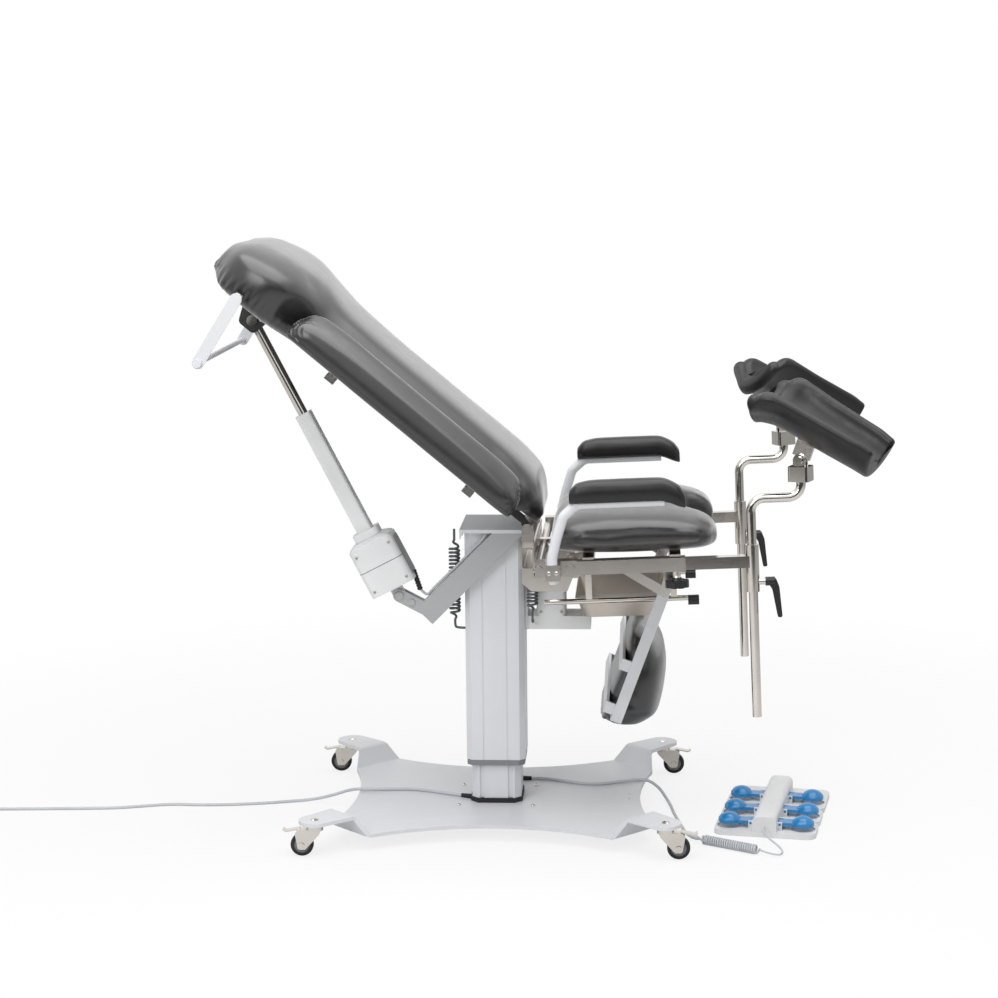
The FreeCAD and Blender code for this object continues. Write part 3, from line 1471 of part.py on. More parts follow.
def leg_shell(side):
    """The padded trough for the lower leg, flared at the knee, with its tilt lug."""
    back = -0.45 * shell_length
    front = back + shell_length
    sections = [
        trough_section(back, shell_half + shell_flare, shell_depth - 6, shell_wall, shell_flare + 2),
        trough_section(back + 24, shell_half + 0.75 * shell_flare, shell_depth, shell_wall,
                       0.5 * shell_flare),
        trough_section(back + 70, shell_half + 0.2 * shell_flare, shell_depth, shell_wall, 0),
        trough_section(back + 0.5 * shell_length, shell_half - 2, shell_depth, shell_wall, 0),
        trough_section(front - 30, shell_half - 8, shell_depth - 4, shell_wall, 0),
        trough_section(front, shell_half - 12, shell_depth - 8, shell_wall, 4),
    ]
    shell = Part.makeLoft(sections, True, False)
    shell.translate(V(0, 0, shell_lift + shell_depth))
    shell = turned(shell, V(0, 0, shell_lift), V(1, 0, 0), -shell_roll)
    lug = block(-20, 20, -tilt_plate / 2, tilt_plate / 2, 0, shell_lift + shell_wall * 0.7)
    shell = fused([shell, lug.cut(block(-30, 30, -20, 20, -1, 6))])
    eye = rod(V(0, -tilt_plate / 2, 0), V(0, tilt_plate / 2, 0), tilt_eye - 1)
    shell = turned(shell, V(0, 0, 0), V(0, 1, 0), shell_pitch)
    shell = fused([shell, eye])
    shell = shell.cut(rod(V(0, -tilt_plate, 0), V(0, tilt_plate, 0), tilt_pin_radius + running))
    shell.translate(V(0, 0, tilt_height()))
    return on_crank(shell, side)


def clamp_lever(side):
    """The ratchet lever that locks the post, hanging from its hub."""
    start = V(sleeve_x + sleeve_radius + lever_boss + gap, side_y, lever_z)
    hub = rod(start, start + V(lever_hub, 0, 0), lever_hub_radius)
    stud = rod(start - V(lever_boss, 0, 0), start + V(1, 0, 0), lever_stud)
    x = start.x + lever_hub / 2
    outline = [(x - 9, lever_z + 6), (x + 12, lever_z + 7), (x + 19, lever_z - 12),
               (x + 24, lever_z - lever_handle),
               (x + 14, lever_z - lever_handle), (x + 4, lever_z - 18)]
    handle = side_prism(outline, side_y - 6.5, side_y + 6.5, [4, 6, 20, 4, 4, 10])
    return on_side(fused([hub, stud, handle]), side)


def star_knob(side):
    """The lobed knob under the side tube, with its clamping stud."""
    half = side_tube / 2
    at = V(knob_x, side_y, 0)
    top = -half - knob_stem - gap
    neck = Part.makeCone(knob_stud * 2.0, knob_stud * 3.0, knob_drop - knob_stem / 2,
                         at + V(0, 0, top), V(0, 0, -1))
    disc_top = top - knob_drop + knob_stem / 2
    disc = rod(at + V(0, 0, disc_top), at + V(0, 0, disc_top - knob_height), knob_radius)
    bite = knob_radius * math.pi / knob_lobes * 0.5
    for i in range(knob_lobes):
        angle = 2 * math.pi * i / knob_lobes
        notch = at + V(math.cos(angle), math.sin(angle), 0) * (knob_radius + bite * 0.45)
        disc = disc.cut(rod(notch + V(0, 0, disc_top + 1), notch + V(0, 0, disc_top - knob_height - 1),
                            bite))
    stud = rod(at + V(0, 0, disc_top), at + V(0, 0, -half + side_wall - gap), knob_stud)
    return on_side(fused([neck, disc, stud]), side)


# Footrest

def on_footrest(shape):
    """Put a piece drawn hanging straight below the footrest's pivot onto the leaning footrest."""
    copy = turned(shape, V(0, 0, 0), V(0, 1, 0), foot_hang)
    copy.translate(V(foot_x, 0, foot_z))
    return on_seat(copy)


def footrest_frame():
    """The bent flat bar with two cross strips that reach around behind the pad."""
    half = foot_bar_width / 2
    inner = foot_bar_y - foot_bar_thick
    solids = []
    for side in (-1, 1):
        y0, y1 = sorted((side * inner, side * foot_bar_y))
        bar = strap((0, foot_bar_up - half), (0, -foot_bar_down + half), foot_bar_width, y0, y1)
        bar = bar.fuse(block(-half, half, y0, y1, -foot_bar_down, -foot_bar_down + half))
        solids.append(bar.cut(rod(V(0, y0 - 1, 0), V(0, y1 + 1, 0), foot_pin + running)))
    solids.append(block(-half, half, -foot_bar_y, foot_bar_y, -foot_bar_down,
                        -foot_bar_down + foot_bar_thick))
    for share in (0.25, 0.75):
        z = -foot_pad_start - share * foot_pad_length
        back = foot_pad_set - foot_strip
        solids.append(block(back, foot_pad_set, -inner - 1, inner + 1, z - half, z + half))
        for side in (-1, 1):
            y0, y1 = sorted((side * (inner - foot_strip), side * (inner + weld)))
            solids.append(block(back, half, y0, y1, z - half, z + half))
    frame = fused(solids)
    return on_footrest(frame)


def footrest_pad():
    """The domed pad of the footrest, around the bar's lower run."""
    half = foot_pad_half
    end = foot_pad_length
    shares = [
        (0, half - 46, 0.42, 0.5), (20, half - 18, 0.56, 0.69), (80, half - 2, 0.7, 0.91),
        (150, half, 0.73, 1.0), (end - 34, half - 8, 0.69, 0.9), (end - 8, half - 28, 0.55, 0.68),
        (end, half - 48, 0.42, 0.5),
    ]
    stations = [(at, wide, edge * foot_pad_thick, crown * foot_pad_thick, 0)
                for at, wide, edge, crown in shares]
    pad = pad_loft(stations, foot_pad_set, 10.0)
    pad.translate(V(foot_pad_start, 0, 0))
    pad = turned(pad, V(0, 0, 0), V(0, 1, 0), 90)
    across = foot_bar_width / 2 + gap
    room = block(-across, across, -foot_bar_y, foot_bar_y, -foot_bar_down - gap,
                 -foot_bar_down + foot_bar_thick + gap)
    return on_footrest(pad.cut(room))


# Foot control

def on_floor(shape):
    """Put a piece drawn about the foot control's middle where it stands."""
    copy = turned(shape, V(0, 0, 0), V(0, 0, 1), control_turn)
    copy.translate(V(control_x, control_y, 0))
    return copy


def pedal_places():
    """Each pedal's name, side and row."""
    names = ("front", "middle", "rear")
    return {f"pedal_{side}_{name}": (way, row) for side, way in (("left", -1), ("right", 1))
            for name, row in zip(names, pedal_rows)}


pedal_axis_x = spine_half + 5.5
pedal_axis_z = pedal_rest - pedal_arm_thick / 2


def pedal_housing():
    """The foot control's base with its spine, pedal ears and shallow wells under the domes."""
    bounds = [control_near] + [(a + b) / 2 for a, b in zip(pedal_rows, pedal_rows[1:])] + [control_far]
    base = [rounded_box(-control_half_x, control_half_x, low - weld, high + weld, 0, control_base,
                        control_round) for low, high in zip(bounds, bounds[1:])]
    spine = block(-spine_half, spine_half, control_near, control_far - 15, 0, spine_top)
    top_edges = [e for e in spine.Edges if abs(e.BoundBox.ZMin - spine_top) < 0.01]
    spine = spine.makeFillet(spine_round, [e for e in top_edges if e.BoundBox.YLength > 10])
    solids = base + [spine]
    ear = 5.0
    for way, row in pedal_places().values():
        x0, x1 = sorted((way * (spine_half - 1), way * (pedal_axis_x + 5)))
        for step in (-1, 1):
            y0, y1 = sorted((row + step * (pedal_arm_half + gap),
                             row + step * (pedal_arm_half + gap + ear)))
            solids.append(block(x0, x1, y0, y1, control_base - 1, pedal_axis_z + 5))
    body = fused(solids)
    for way, row in pedal_places().values():
        at = V(way * pedal_axis_x, row, pedal_axis_z)
        reach = pedal_arm_half + gap + ear
        body = body.cut(rod(at - V(0, reach + 1, 0), at + V(0, reach + 1, 0), pedal_axle + running))
        well = V(way * pedal_reach, row, control_base - recess_depth)
        body = body.cut(rod(well, well + V(0, 0, recess_depth + 1), dome_radius + 2))
    return on_floor(body)


def pedal(way, row):
    """One pedal: hinged arm, dish and dome."""
    low = pedal_rest - pedal_arm_thick
    inner = pedal_axis_x - 4.5
    x0, x1 = sorted((way * inner, way * pedal_reach))
    arm = block(x0, x1, row - pedal_arm_half, row + pedal_arm_half, low, pedal_rest)
    centre = V(way * pedal_reach, row, 0)
    dish = rod(centre + V(0, 0, low), centre + V(0, 0, pedal_rest), dome_radius)
    ball = (dome_radius ** 2 + dome_height ** 2) / (2 * dome_height)
    dome = Part.makeSphere(ball, centre + V(0, 0, pedal_rest + dome_height - ball))
    dome = dome.common(rod(centre + V(0, 0, pedal_rest),
                           centre + V(0, 0, pedal_rest + dome_height + 1), dome_radius))
    at = V(way * pedal_axis_x, row, pedal_axis_z)
    reach = pedal_arm_half + gap + 5.0
    axle = rod(at - V(0, reach, 0), at + V(0, reach, 0), pedal_axle)
    return on_floor(fused([arm, dish, dome, axle]))


def spine_mouth(out):
    """A point in front of the near end of the foot control's spine, where its cord goes in."""
    turn = math.radians(control_turn)
    along = control_near - out
    return V(control_x - along * math.sin(turn), control_y + along * math.cos(turn), mouth_z)


# Cords

def smooth_step(x):
    """A rise from 0 to 1 that starts and ends level."""
    x = max(0.0, min(1.0, x))
    return x * x * (3 - 2 * x)


def curl_curve(start, end, radius, turns):
    """A curly cord between two points of its axis; it opens and closes within its end turns."""
    way = end - start
    length = way.Length
    way.normalize()
    side = way.cross(V(0, 0, 1)) if abs(way.z) < 0.9 else way.cross(V(1, 0, 0))
    side.normalize()
    other = way.cross(side)
    slack = 1.3

    def at(t):
        opening = smooth_step(t) * smooth_step(turns - t)
        along = (t + slack * (smooth_step(t) + smooth_step(t - turns + 1))) / (turns + 2 * slack)
        angle = 2 * math.pi * t
        outward = side * math.cos(angle) + other * math.sin(angle)
        return start + way * (length * along) + outward * (radius * opening)
    return at


def coil_curve(t):
    """The put-away coil: spiral in, climb a layer where it is tightest, and spiral out again."""
    tightest = coil_turns + 0.25
    radius = coil_inner + coil_pitch * math.hypot(t - tightest, coil_ease)
    rise = layer_step * smooth_step((t - coil_turns) * 2)
    angle = math.pi / 2 + 2 * math.pi * t
    return V(coil_x + radius * math.cos(angle), coil_y + radius * math.sin(angle),
             lead_radius + 0.1 + rise)


def mains_coil():
    """The coil, and where its two ends lie."""
    turns = 2 * coil_turns + 0.5
    least_gap("mains_coil", coil_curve, turns, lead_radius)
    return wound_tube(coil_curve, turns, lead_radius, coil_tail)


def mains_plug(end, way):
    """A two-pin plug at the coil's end, with its tapered strain relief."""
    relief = Part.makeCone(lead_radius + 0.6, lead_radius + 4, 22, V(0, 0, 0), V(1, 0, 0))
    body = block(22, 22 + plug_length, -plug_half, plug_half, -plug_height / 2, plug_height / 2)
    edges = [e for e in body.Edges if e.BoundBox.ZLength > plug_height - 1]
    body = body.makeFillet(8, edges)
    solids = [relief, body]
    for step in (-1, 1):
        root = V(22 + plug_length - 1, step * plug_pin_pitch / 2, 0)
        solids.append(rod(root, root + V(plug_pin_length + 1, 0, 0), plug_pin_radius))
    plug = fused(solids)
    plug = turned(plug, V(0, 0, 0), V(0, 0, 1), math.degrees(math.atan2(way.y, way.x)))
    plug.translate(end)
    return plug


def hanging_cables():
    """Two curly actuator cables beside the column, with straight ends into what they feed."""
    solids = []
    left_x = column_x - outer_x / 2 - 24
    left = (V(left_x, -44, head_bottom - 24), V(left_x, -44, 462), 19)
    right_x = column_x + outer_x / 2 + 19
    right = (V(right_x, -68, cross_z - 40), V(right_x, -68, 486), 11)
    for name, (top, low, turns), seat in (("left cable", left, head_bottom),
                                          ("right cable", right, cross_z - 25)):
        curve = curl_curve(top, low, cable_radius, turns)
        least_gap(name, curve, turns, cable_wire)
        tube, start, end = wound_tube(curve, turns, cable_wire, 2 * cable_wire)
        solids.append(tube)
        solids.append(rod(start, V(start.x, start.y, seat), cable_wire))
        if name == "left cable":
            points = [end, end - V(0, 0, 16), V(column_x - outer_x / 2, end.y, end.z - 16)]
        else:
            points = [end, end - V(0, 0, 24), V(end.x, -lift_box_half, end.z - 24)]
        solids.append(bent_bar(points, 12.0, cable_wire))
    return group(solids)


def pedal_curl():
    """The foot control's curly cord lying on the floor."""
    curve = curl_curve(curl_start, curl_end, curl_radius, curl_turns)
    least_gap("pedal_curl", curve, curl_turns, curl_wire)
    return wound_tube(curve, curl_turns, curl_wire, 2 * curl_wire)


# The whole chair

CORD_NODES = ("mains_lead", "mains_coil", "mains_plug", "pedal_lead", "pedal_curl")


def chair():
    """Every node by name, about the column's foot on the floor."""
    nodes = {
        "base_plate": base_plate(),
        "caster_bolts": caster_bolts(),
        "column_foot_gasket": column_foot_gasket(),
        "column_inner_profile": column_inner_profile(),
        "lift_drive_rod": lift_drive_rod(),
        "column_outer_profile": column_outer_profile(),
        "lift_drive_motor": lift_drive_motor(),
        "column_head_plate": column_head_plate(),
        "support_arm": support_arm(),
        "cross_tube": cross_tube(),
        "seat_actuator": seat_actuator(),
        "actuator_cables": hanging_cables(),
        "back_frame": back_frame(),
        "back_cushion": back_cushion(),
        "back_wings": back_wings(),
        "paper_holder": paper_holder(),
        "paper_rod": paper_rod(),
        "back_actuator": back_actuator(),
        "back_actuator_rod": back_actuator_rod(),
        "seat_frame": seat_frame(),
        "seat_cushion": seat_cushion(),
        "armrest_tubes": armrest_tubes(),
        "armrest_pads": armrest_pads(),
        "basin_rails": basin_rails(),
        "basin": basin(),
        "seat_actuator_rod": seat_actuator_rod(),
        "footrest_frame": footrest_frame(),
        "footrest_pad": footrest_pad(),
        "pedal_housing": pedal_housing(),
    }
    for name, (at, way) in caster_places().items():
        nodes[f"caster_fork_{name}"] = caster_fork(at, way)
        nodes[f"caster_wheel_{name}"] = caster_wheel(at, way)
    for name, side in SIDES.items():
        for piece in (leg_bar, leg_post, leg_clamp, leg_shell, clamp_lever, star_knob):
            nodes[f"{piece.__name__}_{name}"] = piece(side)
    for name, (way, row) in pedal_places().items():
        nodes[name] = pedal(way, row)
    coil, coil_from, coil_to = mains_coil()
    nodes["mains_coil"] = coil
    nodes["mains_lead"] = lead_tube("mains_lead", mains_route + [tuple(coil_from)], lead_radius)
    last = coil_curve(2 * coil_turns + 0.5)
    nodes["mains_plug"] = mains_plug(coil_to, (coil_to - last).normalize())
    curl, curl_from, curl_to = pedal_curl()
    nodes["pedal_curl"] = curl
    nodes["pedal_lead"] = group([
        lead_tube("pedal_lead", pedal_route + [tuple(curl_from)], lead_radius),
        lead_tube("pedal_tail", [tuple(curl_to)] + tail_route
                  + [tuple(spine_mouth(mouth_run)), tuple(spine_mouth(0))], curl_wire),
    ])
    return nodes


def middle(nodes):
    """The point on the floor under the middle of the object, its cords left out."""
    box = FreeCAD.BoundBox()
    for name, shape in nodes.items():
        if name not in CORD_NODES:
            box.add(shape.optimalBoundingBox(False, False))
    return V(box.Center.x, box.Center.y, box.ZMin)


def main():
    os.makedirs("parts", exist_ok=True)
    nodes = chair()
    origin = middle(nodes)
    for name, shape in nodes.items():
        shape.translate(V(0, 0, 0) - origin)
        shape.exportStep(f"parts/{name}.step")
    print(len(nodes), "nodes, origin", origin)


if __name__ == "__main__":
    main()
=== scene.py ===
"""Looks of an adjustable examination chair: upholstery, finishes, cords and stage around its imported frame."""

import math

import bmesh
import bpy
from bpy.props import FloatProperty, FloatVectorProperty, PointerProperty
from mathutils import Matrix, Vector, noise


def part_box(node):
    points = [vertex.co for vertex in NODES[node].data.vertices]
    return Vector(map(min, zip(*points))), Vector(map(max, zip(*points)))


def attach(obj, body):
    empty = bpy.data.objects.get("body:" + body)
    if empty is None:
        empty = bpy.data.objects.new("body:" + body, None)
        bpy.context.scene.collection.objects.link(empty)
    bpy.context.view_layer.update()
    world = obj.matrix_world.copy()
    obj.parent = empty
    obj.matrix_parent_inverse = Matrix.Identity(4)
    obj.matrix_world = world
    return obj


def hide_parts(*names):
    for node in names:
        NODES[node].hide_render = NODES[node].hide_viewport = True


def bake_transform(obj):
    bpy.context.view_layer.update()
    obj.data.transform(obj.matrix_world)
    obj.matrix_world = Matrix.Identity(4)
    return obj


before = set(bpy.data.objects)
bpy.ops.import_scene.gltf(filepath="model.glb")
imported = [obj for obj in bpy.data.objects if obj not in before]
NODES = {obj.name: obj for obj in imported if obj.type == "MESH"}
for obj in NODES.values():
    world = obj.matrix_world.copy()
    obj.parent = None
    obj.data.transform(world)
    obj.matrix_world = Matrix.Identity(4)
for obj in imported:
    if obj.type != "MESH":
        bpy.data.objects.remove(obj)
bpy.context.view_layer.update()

bl_info = {
    "name": "Examination chair",
    "version": (1, 0, 0),
    "blender": (4, 5, 0),
    "location": "3D View > Sidebar > Chair",
    "description": "Dresses the packed frame of an examination chair",
    "category": "Object",
}

MM = 0.001

# The frame's origin lies this far along X from the middle of the column's foot
COLUMN_LOW, COLUMN_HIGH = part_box("column_outer_profile")
COLUMN_X = -0.0015
SHIFT = COLUMN_X - (COLUMN_LOW.x + COLUMN_HIGH.x) / 2


def at_foot(x, y, z):
    """A point measured from the column's foot, in the frame's own coordinates."""
    return Vector((x - SHIFT, y, z))


# Places of the leaning back, the tilted seat and what hangs on it; pieces are drawn in millimetres

MILLIMETRES = Matrix.Scale(MM, 4)
BACK_ANGLE = math.radians(40.0)
SEAT_TILT = math.radians(2.2)
FOOT_HANG = math.radians(22.3)
SHELL_PITCH = math.radians(21.5)
SHELL_YAW = math.radians(25.0)
SHELL_ROLL = math.radians(12.0)
TROUGH_PITCH = math.radians(8.0)
TROUGH_AXIS = 40.0
TROUGH_LIFT = 6.0
SIDES = {"near": -1, "far": 1}


def back_place():
    """From the hinge along the back, across it and out of it."""
    lean = Matrix(((-math.cos(BACK_ANGLE), 0, math.sin(BACK_ANGLE)),
                   (0, -1, 0),
                   (math.sin(BACK_ANGLE), 0, math.cos(BACK_ANGLE)))).to_4x4()
    return Matrix.Translation(at_foot(0.0786, 0, 0.6887)) @ lean @ MILLIMETRES


def seat_place():
    """From the seat's pivot, level with the seat."""
    return (Matrix.Translation(at_foot(0.1765, 0, 0.629)) @ Matrix.Rotation(-SEAT_TILT, 4, "Y")
            @ MILLIMETRES)


def foot_place():
    """From the top of the footrest pad down its back, the third axis pointing forward."""
    hang = Matrix.Translation((198.5, 0, -71.0)) @ Matrix.Rotation(FOOT_HANG + math.pi / 2, 4, "Y")
    return seat_place() @ hang @ Matrix.Translation((132.0, 0, 0))


def shell_place(side):
    """From a leg shell's tilt pin along the trough."""
    mirror = Matrix.Diagonal((1, side, 1, 1))
    crank = Matrix.Translation((494.0, 288.0, 213.0)) @ Matrix.Rotation(SHELL_YAW, 4, "Z")
    return seat_place() @ mirror @ crank @ Matrix.Rotation(SHELL_PITCH, 4, "Y")


def trough_place(side):
    """The same for the trough itself, which leans outward and dips further at the foot, above its lug."""
    lean = Matrix.Rotation(TROUGH_PITCH, 4, "Y") @ Matrix.Rotation(-SHELL_ROLL, 4, "X")
    return (shell_place(side) @ Matrix.Translation((0, 0, TROUGH_AXIS + TROUGH_LIFT)) @ lean
            @ Matrix.Translation((0, 0, -TROUGH_AXIS)))


def actuator_place():
    """From the rear pivot of the back's actuator up along its rod."""
    pivot, end = at_foot(-0.212, -0.087, 0.528), at_foot(-0.527, -0.087, 1.1447)
    way = (end - pivot).normalized()
    lean = Matrix.Rotation(math.atan2(way.x, way.z), 4, "Y")
    return Matrix.Translation(pivot) @ lean @ MILLIMETRES


# Cord routes, the same points as the tubes of the frame, in metres from the column's foot

MAINS_ROUTE = [
    (-0.084, -0.016, 0.043), (-0.118, -0.001, 0.0428), (-0.162, 0.020, 0.0426), (-0.208, 0.034, 0.0426),
    (-0.256, 0.029, 0.043), (-0.300, 0.021, 0.0444), (-0.342, 0.024, 0.0446), (-0.386, 0.044, 0.024),
    (-0.438, 0.061, 0.007), (-0.496, 0.054, 0.0036), (-0.562, 0.036, 0.0037), (-0.632, 0.024, 0.0036),
    (-0.702, 0.019, 0.0037), (-0.768, 0.025, 0.0036), (-0.828, 0.008, 0.0037), (-0.890, -0.010, 0.0036),
    (-0.964, -0.016, 0.0037), (-1.044, -0.020, 0.0036), (-1.112, -0.024, 0.0037), (-1.162, -0.0264, 0.0036),
    (-1.208, -0.0272, 0.0037),
]
PEDAL_ROUTE = [
    (0.070, 0.128, 0.043), (0.100, 0.130, 0.0428), (0.140, 0.114, 0.0426), (0.186, 0.090, 0.0426),
    (0.230, 0.085, 0.0426), (0.272, 0.103, 0.0428), (0.312, 0.120, 0.044), (0.344, 0.127, 0.042),
    (0.370, 0.119, 0.026), (0.386, 0.092, 0.009), (0.396, 0.050, 0.0037), (0.402, -0.008, 0.0036),
    (0.411, -0.068, 0.0037), (0.420, -0.124, 0.0036), (0.427, -0.166, 0.0045), (0.434, -0.196, 0.008),
    (0.440, -0.214, 0.0114),
]
TAIL_ROUTE = [
    (0.604, -0.3192, 0.0085), (0.625, -0.3205, 0.0052), (0.635, -0.299, 0.0052), (0.626, -0.271, 0.010),
    (0.608, -0.246, 0.0175), (0.5928, -0.2146, 0.024), (0.599, -0.1791, 0.024),
]
CURL_ENDS = ((0.455, -0.228, 0.0114), (0.586, -0.308, 0.0114))
COIL_MIDDLE = (-1.290, -0.082)
COIL_TAIL = 0.040


# Settings

def tint(name, description, default):
    """A colour setting."""
    return FloatVectorProperty(name=name, description=description, subtype="COLOR", size=3,
                               default=default, min=0, max=1)


def measure(name, description, default, low=0.0, high=1e9, unit="LENGTH"):
    """A number setting."""
    return FloatProperty(name=name, description=description, default=default, min=low, max=high, unit=unit)


class ChairUpholstery(bpy.types.PropertyGroup):
    """Covers and paddings."""

    cover: tint("Cover", "Grey of the back, wings and seat", (0.014, 0.0141, 0.0146))
    black: tint("Black cover", "Colour of the footrest pad, armrests and leg shells", (0.014, 0.014, 0.015))
    grain: measure("Grain", "Size of one grain of the cover", 0.0011, 0.0002, 0.01)
    swell: measure("Swell", "How far the stuffing may push the cover out", 0.006, 0, 0.03)
    gather: measure("Gather", "Height of the gathers where a cover is drawn in", 0.0016, 0, 0.01)


class ChairMetal(bpy.types.PropertyGroup):
    """Painted and bare metal."""

    paint: tint("Paint", "Powder coat of the base and column", (0.69, 0.705, 0.73))
    chrome: tint("Chrome", "Tint of the plated tubes", (0.66, 0.625, 0.58))
    steel: tint("Steel", "Tint of the brushed steel", (0.52, 0.47, 0.42))
    alloy: tint("Alloy", "Tint of the satin alloy", (0.66, 0.67, 0.69))


class ChairPlastic(bpy.types.PropertyGroup):
    """Moulded pieces and cords."""

    white: tint("White", "Actuator housings and foot control", (0.74, 0.745, 0.75))
    black: tint("Black", "Knobs, levers and caps", (0.012, 0.012, 0.013))
    grey: tint("Grey", "Wheel hubs and trim", (0.22, 0.225, 0.235))
    rubber: tint("Rubber", "Tyres and the column's gasket", (0.02, 0.02, 0.022))
    blue: tint("Blue", "Pedal domes", (0.012, 0.21, 0.50))
    lead: tint("Lead", "Mains and pedal leads", (0.55, 0.57, 0.60))
    cable: tint("Cable", "Curly actuator cables", (0.10, 0.105, 0.115))


class ChairStage(bpy.types.PropertyGroup):
    """Floor, light and camera."""

    floor: tint("Floor", "Colour of the floor", (0.80, 0.80, 0.80))
    overhead: measure("Overhead", "Power of the large overhead lamp", 100.0, unit="POWER")
    front: measure("Front", "Power of the lamp beside the camera", 41.0, unit="POWER")
    ambient: measure("Ambient", "Strength of the light from all round", 0.42, 0, 2, "NONE")
    lens: measure("Lens", "Focal length on a 36 mm sensor", 82.12, 10, 300, "NONE")


def settings(name):
    """One of the chair's groups of settings."""
    return getattr(bpy.context.scene, "chair_" + name)


# Materials

# Most of a noise's values lie between these two
NOISE_SPAN = (0.3, 0.7)
# How far painted shade darkens a cover's colour in its folds and seams
PAINTED_SHADE_FACTOR = 0.35
BRUSH_LINES = 220.0
BRUSH_DEPTH = 0.00004


def new_material(name):
    """An empty node material with its principled shader."""
    material = bpy.data.materials.new(name)
    material.use_nodes = True
    tree = material.node_tree
    return material, tree, tree.nodes["Principled BSDF"]


def set_inputs(node, values):
    """Set some of a node's inputs by name."""
    for name, value in values.items():
        node.inputs[name].default_value = value


def add_node(tree, kind, values=None, **options):
    """A new node with its options and some of its inputs set."""
    node = tree.nodes.new(kind)
    for name, value in options.items():
        setattr(node, name, value)
    set_inputs(node, values or {})
    return node


def wire(tree, *pairs):
    """Link pairs of an output and an input."""
    for source, target in pairs:
        tree.links.new(source, target)


def shade(colour, amount):
    """A colour made darker or lighter."""
    return [c * amount for c in colour]


def object_noise(tree, scale, detail=3.0, stretch=(1, 1, 1)):
    """Noise in the piece's own coordinates; gives the factor's socket."""
    coordinates = add_node(tree, "ShaderNodeTexCoord")
    mapping = add_node(tree, "ShaderNodeMapping", {"Scale": stretch})
    texture = add_node(tree, "ShaderNodeTexNoise", {"Scale": scale, "Detail": detail})
    wire(tree, (coordinates.outputs["Object"], mapping.inputs["Vector"]),
         (mapping.outputs["Vector"], texture.inputs["Vector"]))
    return texture.outputs["Fac"]


def object_cells(tree, scale):
    """Cell pattern of a grained hide; gives the distance socket."""
    coordinates = add_node(tree, "ShaderNodeTexCoord")
    texture = add_node(tree, "ShaderNodeTexVoronoi", {"Scale": scale})
    wire(tree, (coordinates.outputs["Object"], texture.inputs["Vector"]))
    return texture.outputs["Distance"]


def spread_colour(tree, shader, factor, colour, spread):
    """Drive the base colour between a darker and a lighter shade."""
    ramp = add_node(tree, "ShaderNodeValToRGB")
    for stop, amount, place in zip(ramp.color_ramp.elements, (1 - spread, 1 + spread), NOISE_SPAN):
        stop.position = place
        stop.color = (*[min(1.0, c * amount) for c in colour], 1)
    wire(tree, (factor, ramp.inputs["Fac"]), (ramp.outputs["Color"], shader.inputs["Base Color"]))
    return ramp.outputs["Color"]


def spread_roughness(tree, shader, factor, low, high):
    """Drive the roughness between two values."""
    span = add_node(tree, "ShaderNodeMapRange", {"From Min": NOISE_SPAN[0], "From Max": NOISE_SPAN[1],
                                                 "To Min": low, "To Max": high})
    wire(tree, (factor, span.inputs["Value"]), (span.outputs["Result"], shader.inputs["Roughness"]))


def add_bump(tree, shader, height, strength, depth, under=None):
    """Raise the surface by a height socket, over an earlier bump if there is one."""
    bump = add_node(tree, "ShaderNodeBump", {"Strength": strength, "Distance": depth})
    wire(tree, (height, bump.inputs["Height"]), (bump.outputs["Normal"], shader.inputs["Normal"]))
    if under:
        wire(tree, (under, bump.inputs["Normal"]))
    return bump.outputs["Normal"]


def leather(name, colour, grain, roughness, sheen):
    """A grained cover with soft shading, darkened by painted shade in the folds and seams that the mesh marks.
    """
    material, tree, shader = new_material(name)
    base = spread_colour(tree, shader, object_noise(tree, 7.0), colour, 0.06)
    # Painted shade: the mesh's mark darkens the colour in fold valleys and seam grooves
    painted_shade = add_node(tree, "ShaderNodeAttribute", attribute_name="painted_shade")
    darker = add_node(tree, "ShaderNodeMix", {"B": (*shade(colour, PAINTED_SHADE_FACTOR), 1)}, data_type="RGBA")
    wire(tree, (painted_shade.outputs["Fac"], darker.inputs["Factor"]), (base, darker.inputs["A"]),
         (darker.outputs["Result"], shader.inputs["Base Color"]))
    spread_roughness(tree, shader, object_noise(tree, 45.0), roughness - 0.05, roughness + 0.06)
    set_inputs(shader, {"Specular IOR Level": 0.45, "Sheen Weight": sheen, "Sheen Roughness": 0.2,
                        "Coat Weight": 0.8, "Coat Roughness": 0.3})
    soft = add_bump(tree, shader, object_noise(tree, 28.0, 2.0), 0.06, 0.0025)
    add_bump(tree, shader, object_cells(tree, 1 / grain), 0.10, 0.0002, soft)
    return material


def moulded(name, colour, roughness, grain, depth, gloss=0.5):
    """A moulded plastic, rubber or foam skin with a fine even grain."""
    material, tree, shader = new_material(name)
    spread_colour(tree, shader, object_noise(tree, 11.0), colour, 0.05)
    spread_roughness(tree, shader, object_noise(tree, 60.0), roughness - 0.05, roughness + 0.05)
    shader.inputs["Specular IOR Level"].default_value = gloss
    add_bump(tree, shader, object_noise(tree, 1 / grain, 2.0), 0.1, depth)
    return material


def metal(name, colour, roughness, stretch=(1, 1, 1)):
    """A bare or plated metal, brushed along the axis that its noise is stretched on."""
    material, tree, shader = new_material(name)
    shader.inputs["Metallic"].default_value = 1.0
    spread_colour(tree, shader, object_noise(tree, 16.0, 4.0), colour, 0.05)
    brushing = object_noise(tree, BRUSH_LINES, 4.0, stretch)
    spread_roughness(tree, shader, brushing, roughness * 0.88, roughness * 1.15)
    add_bump(tree, shader, brushing, 0.02, BRUSH_DEPTH)
    return material


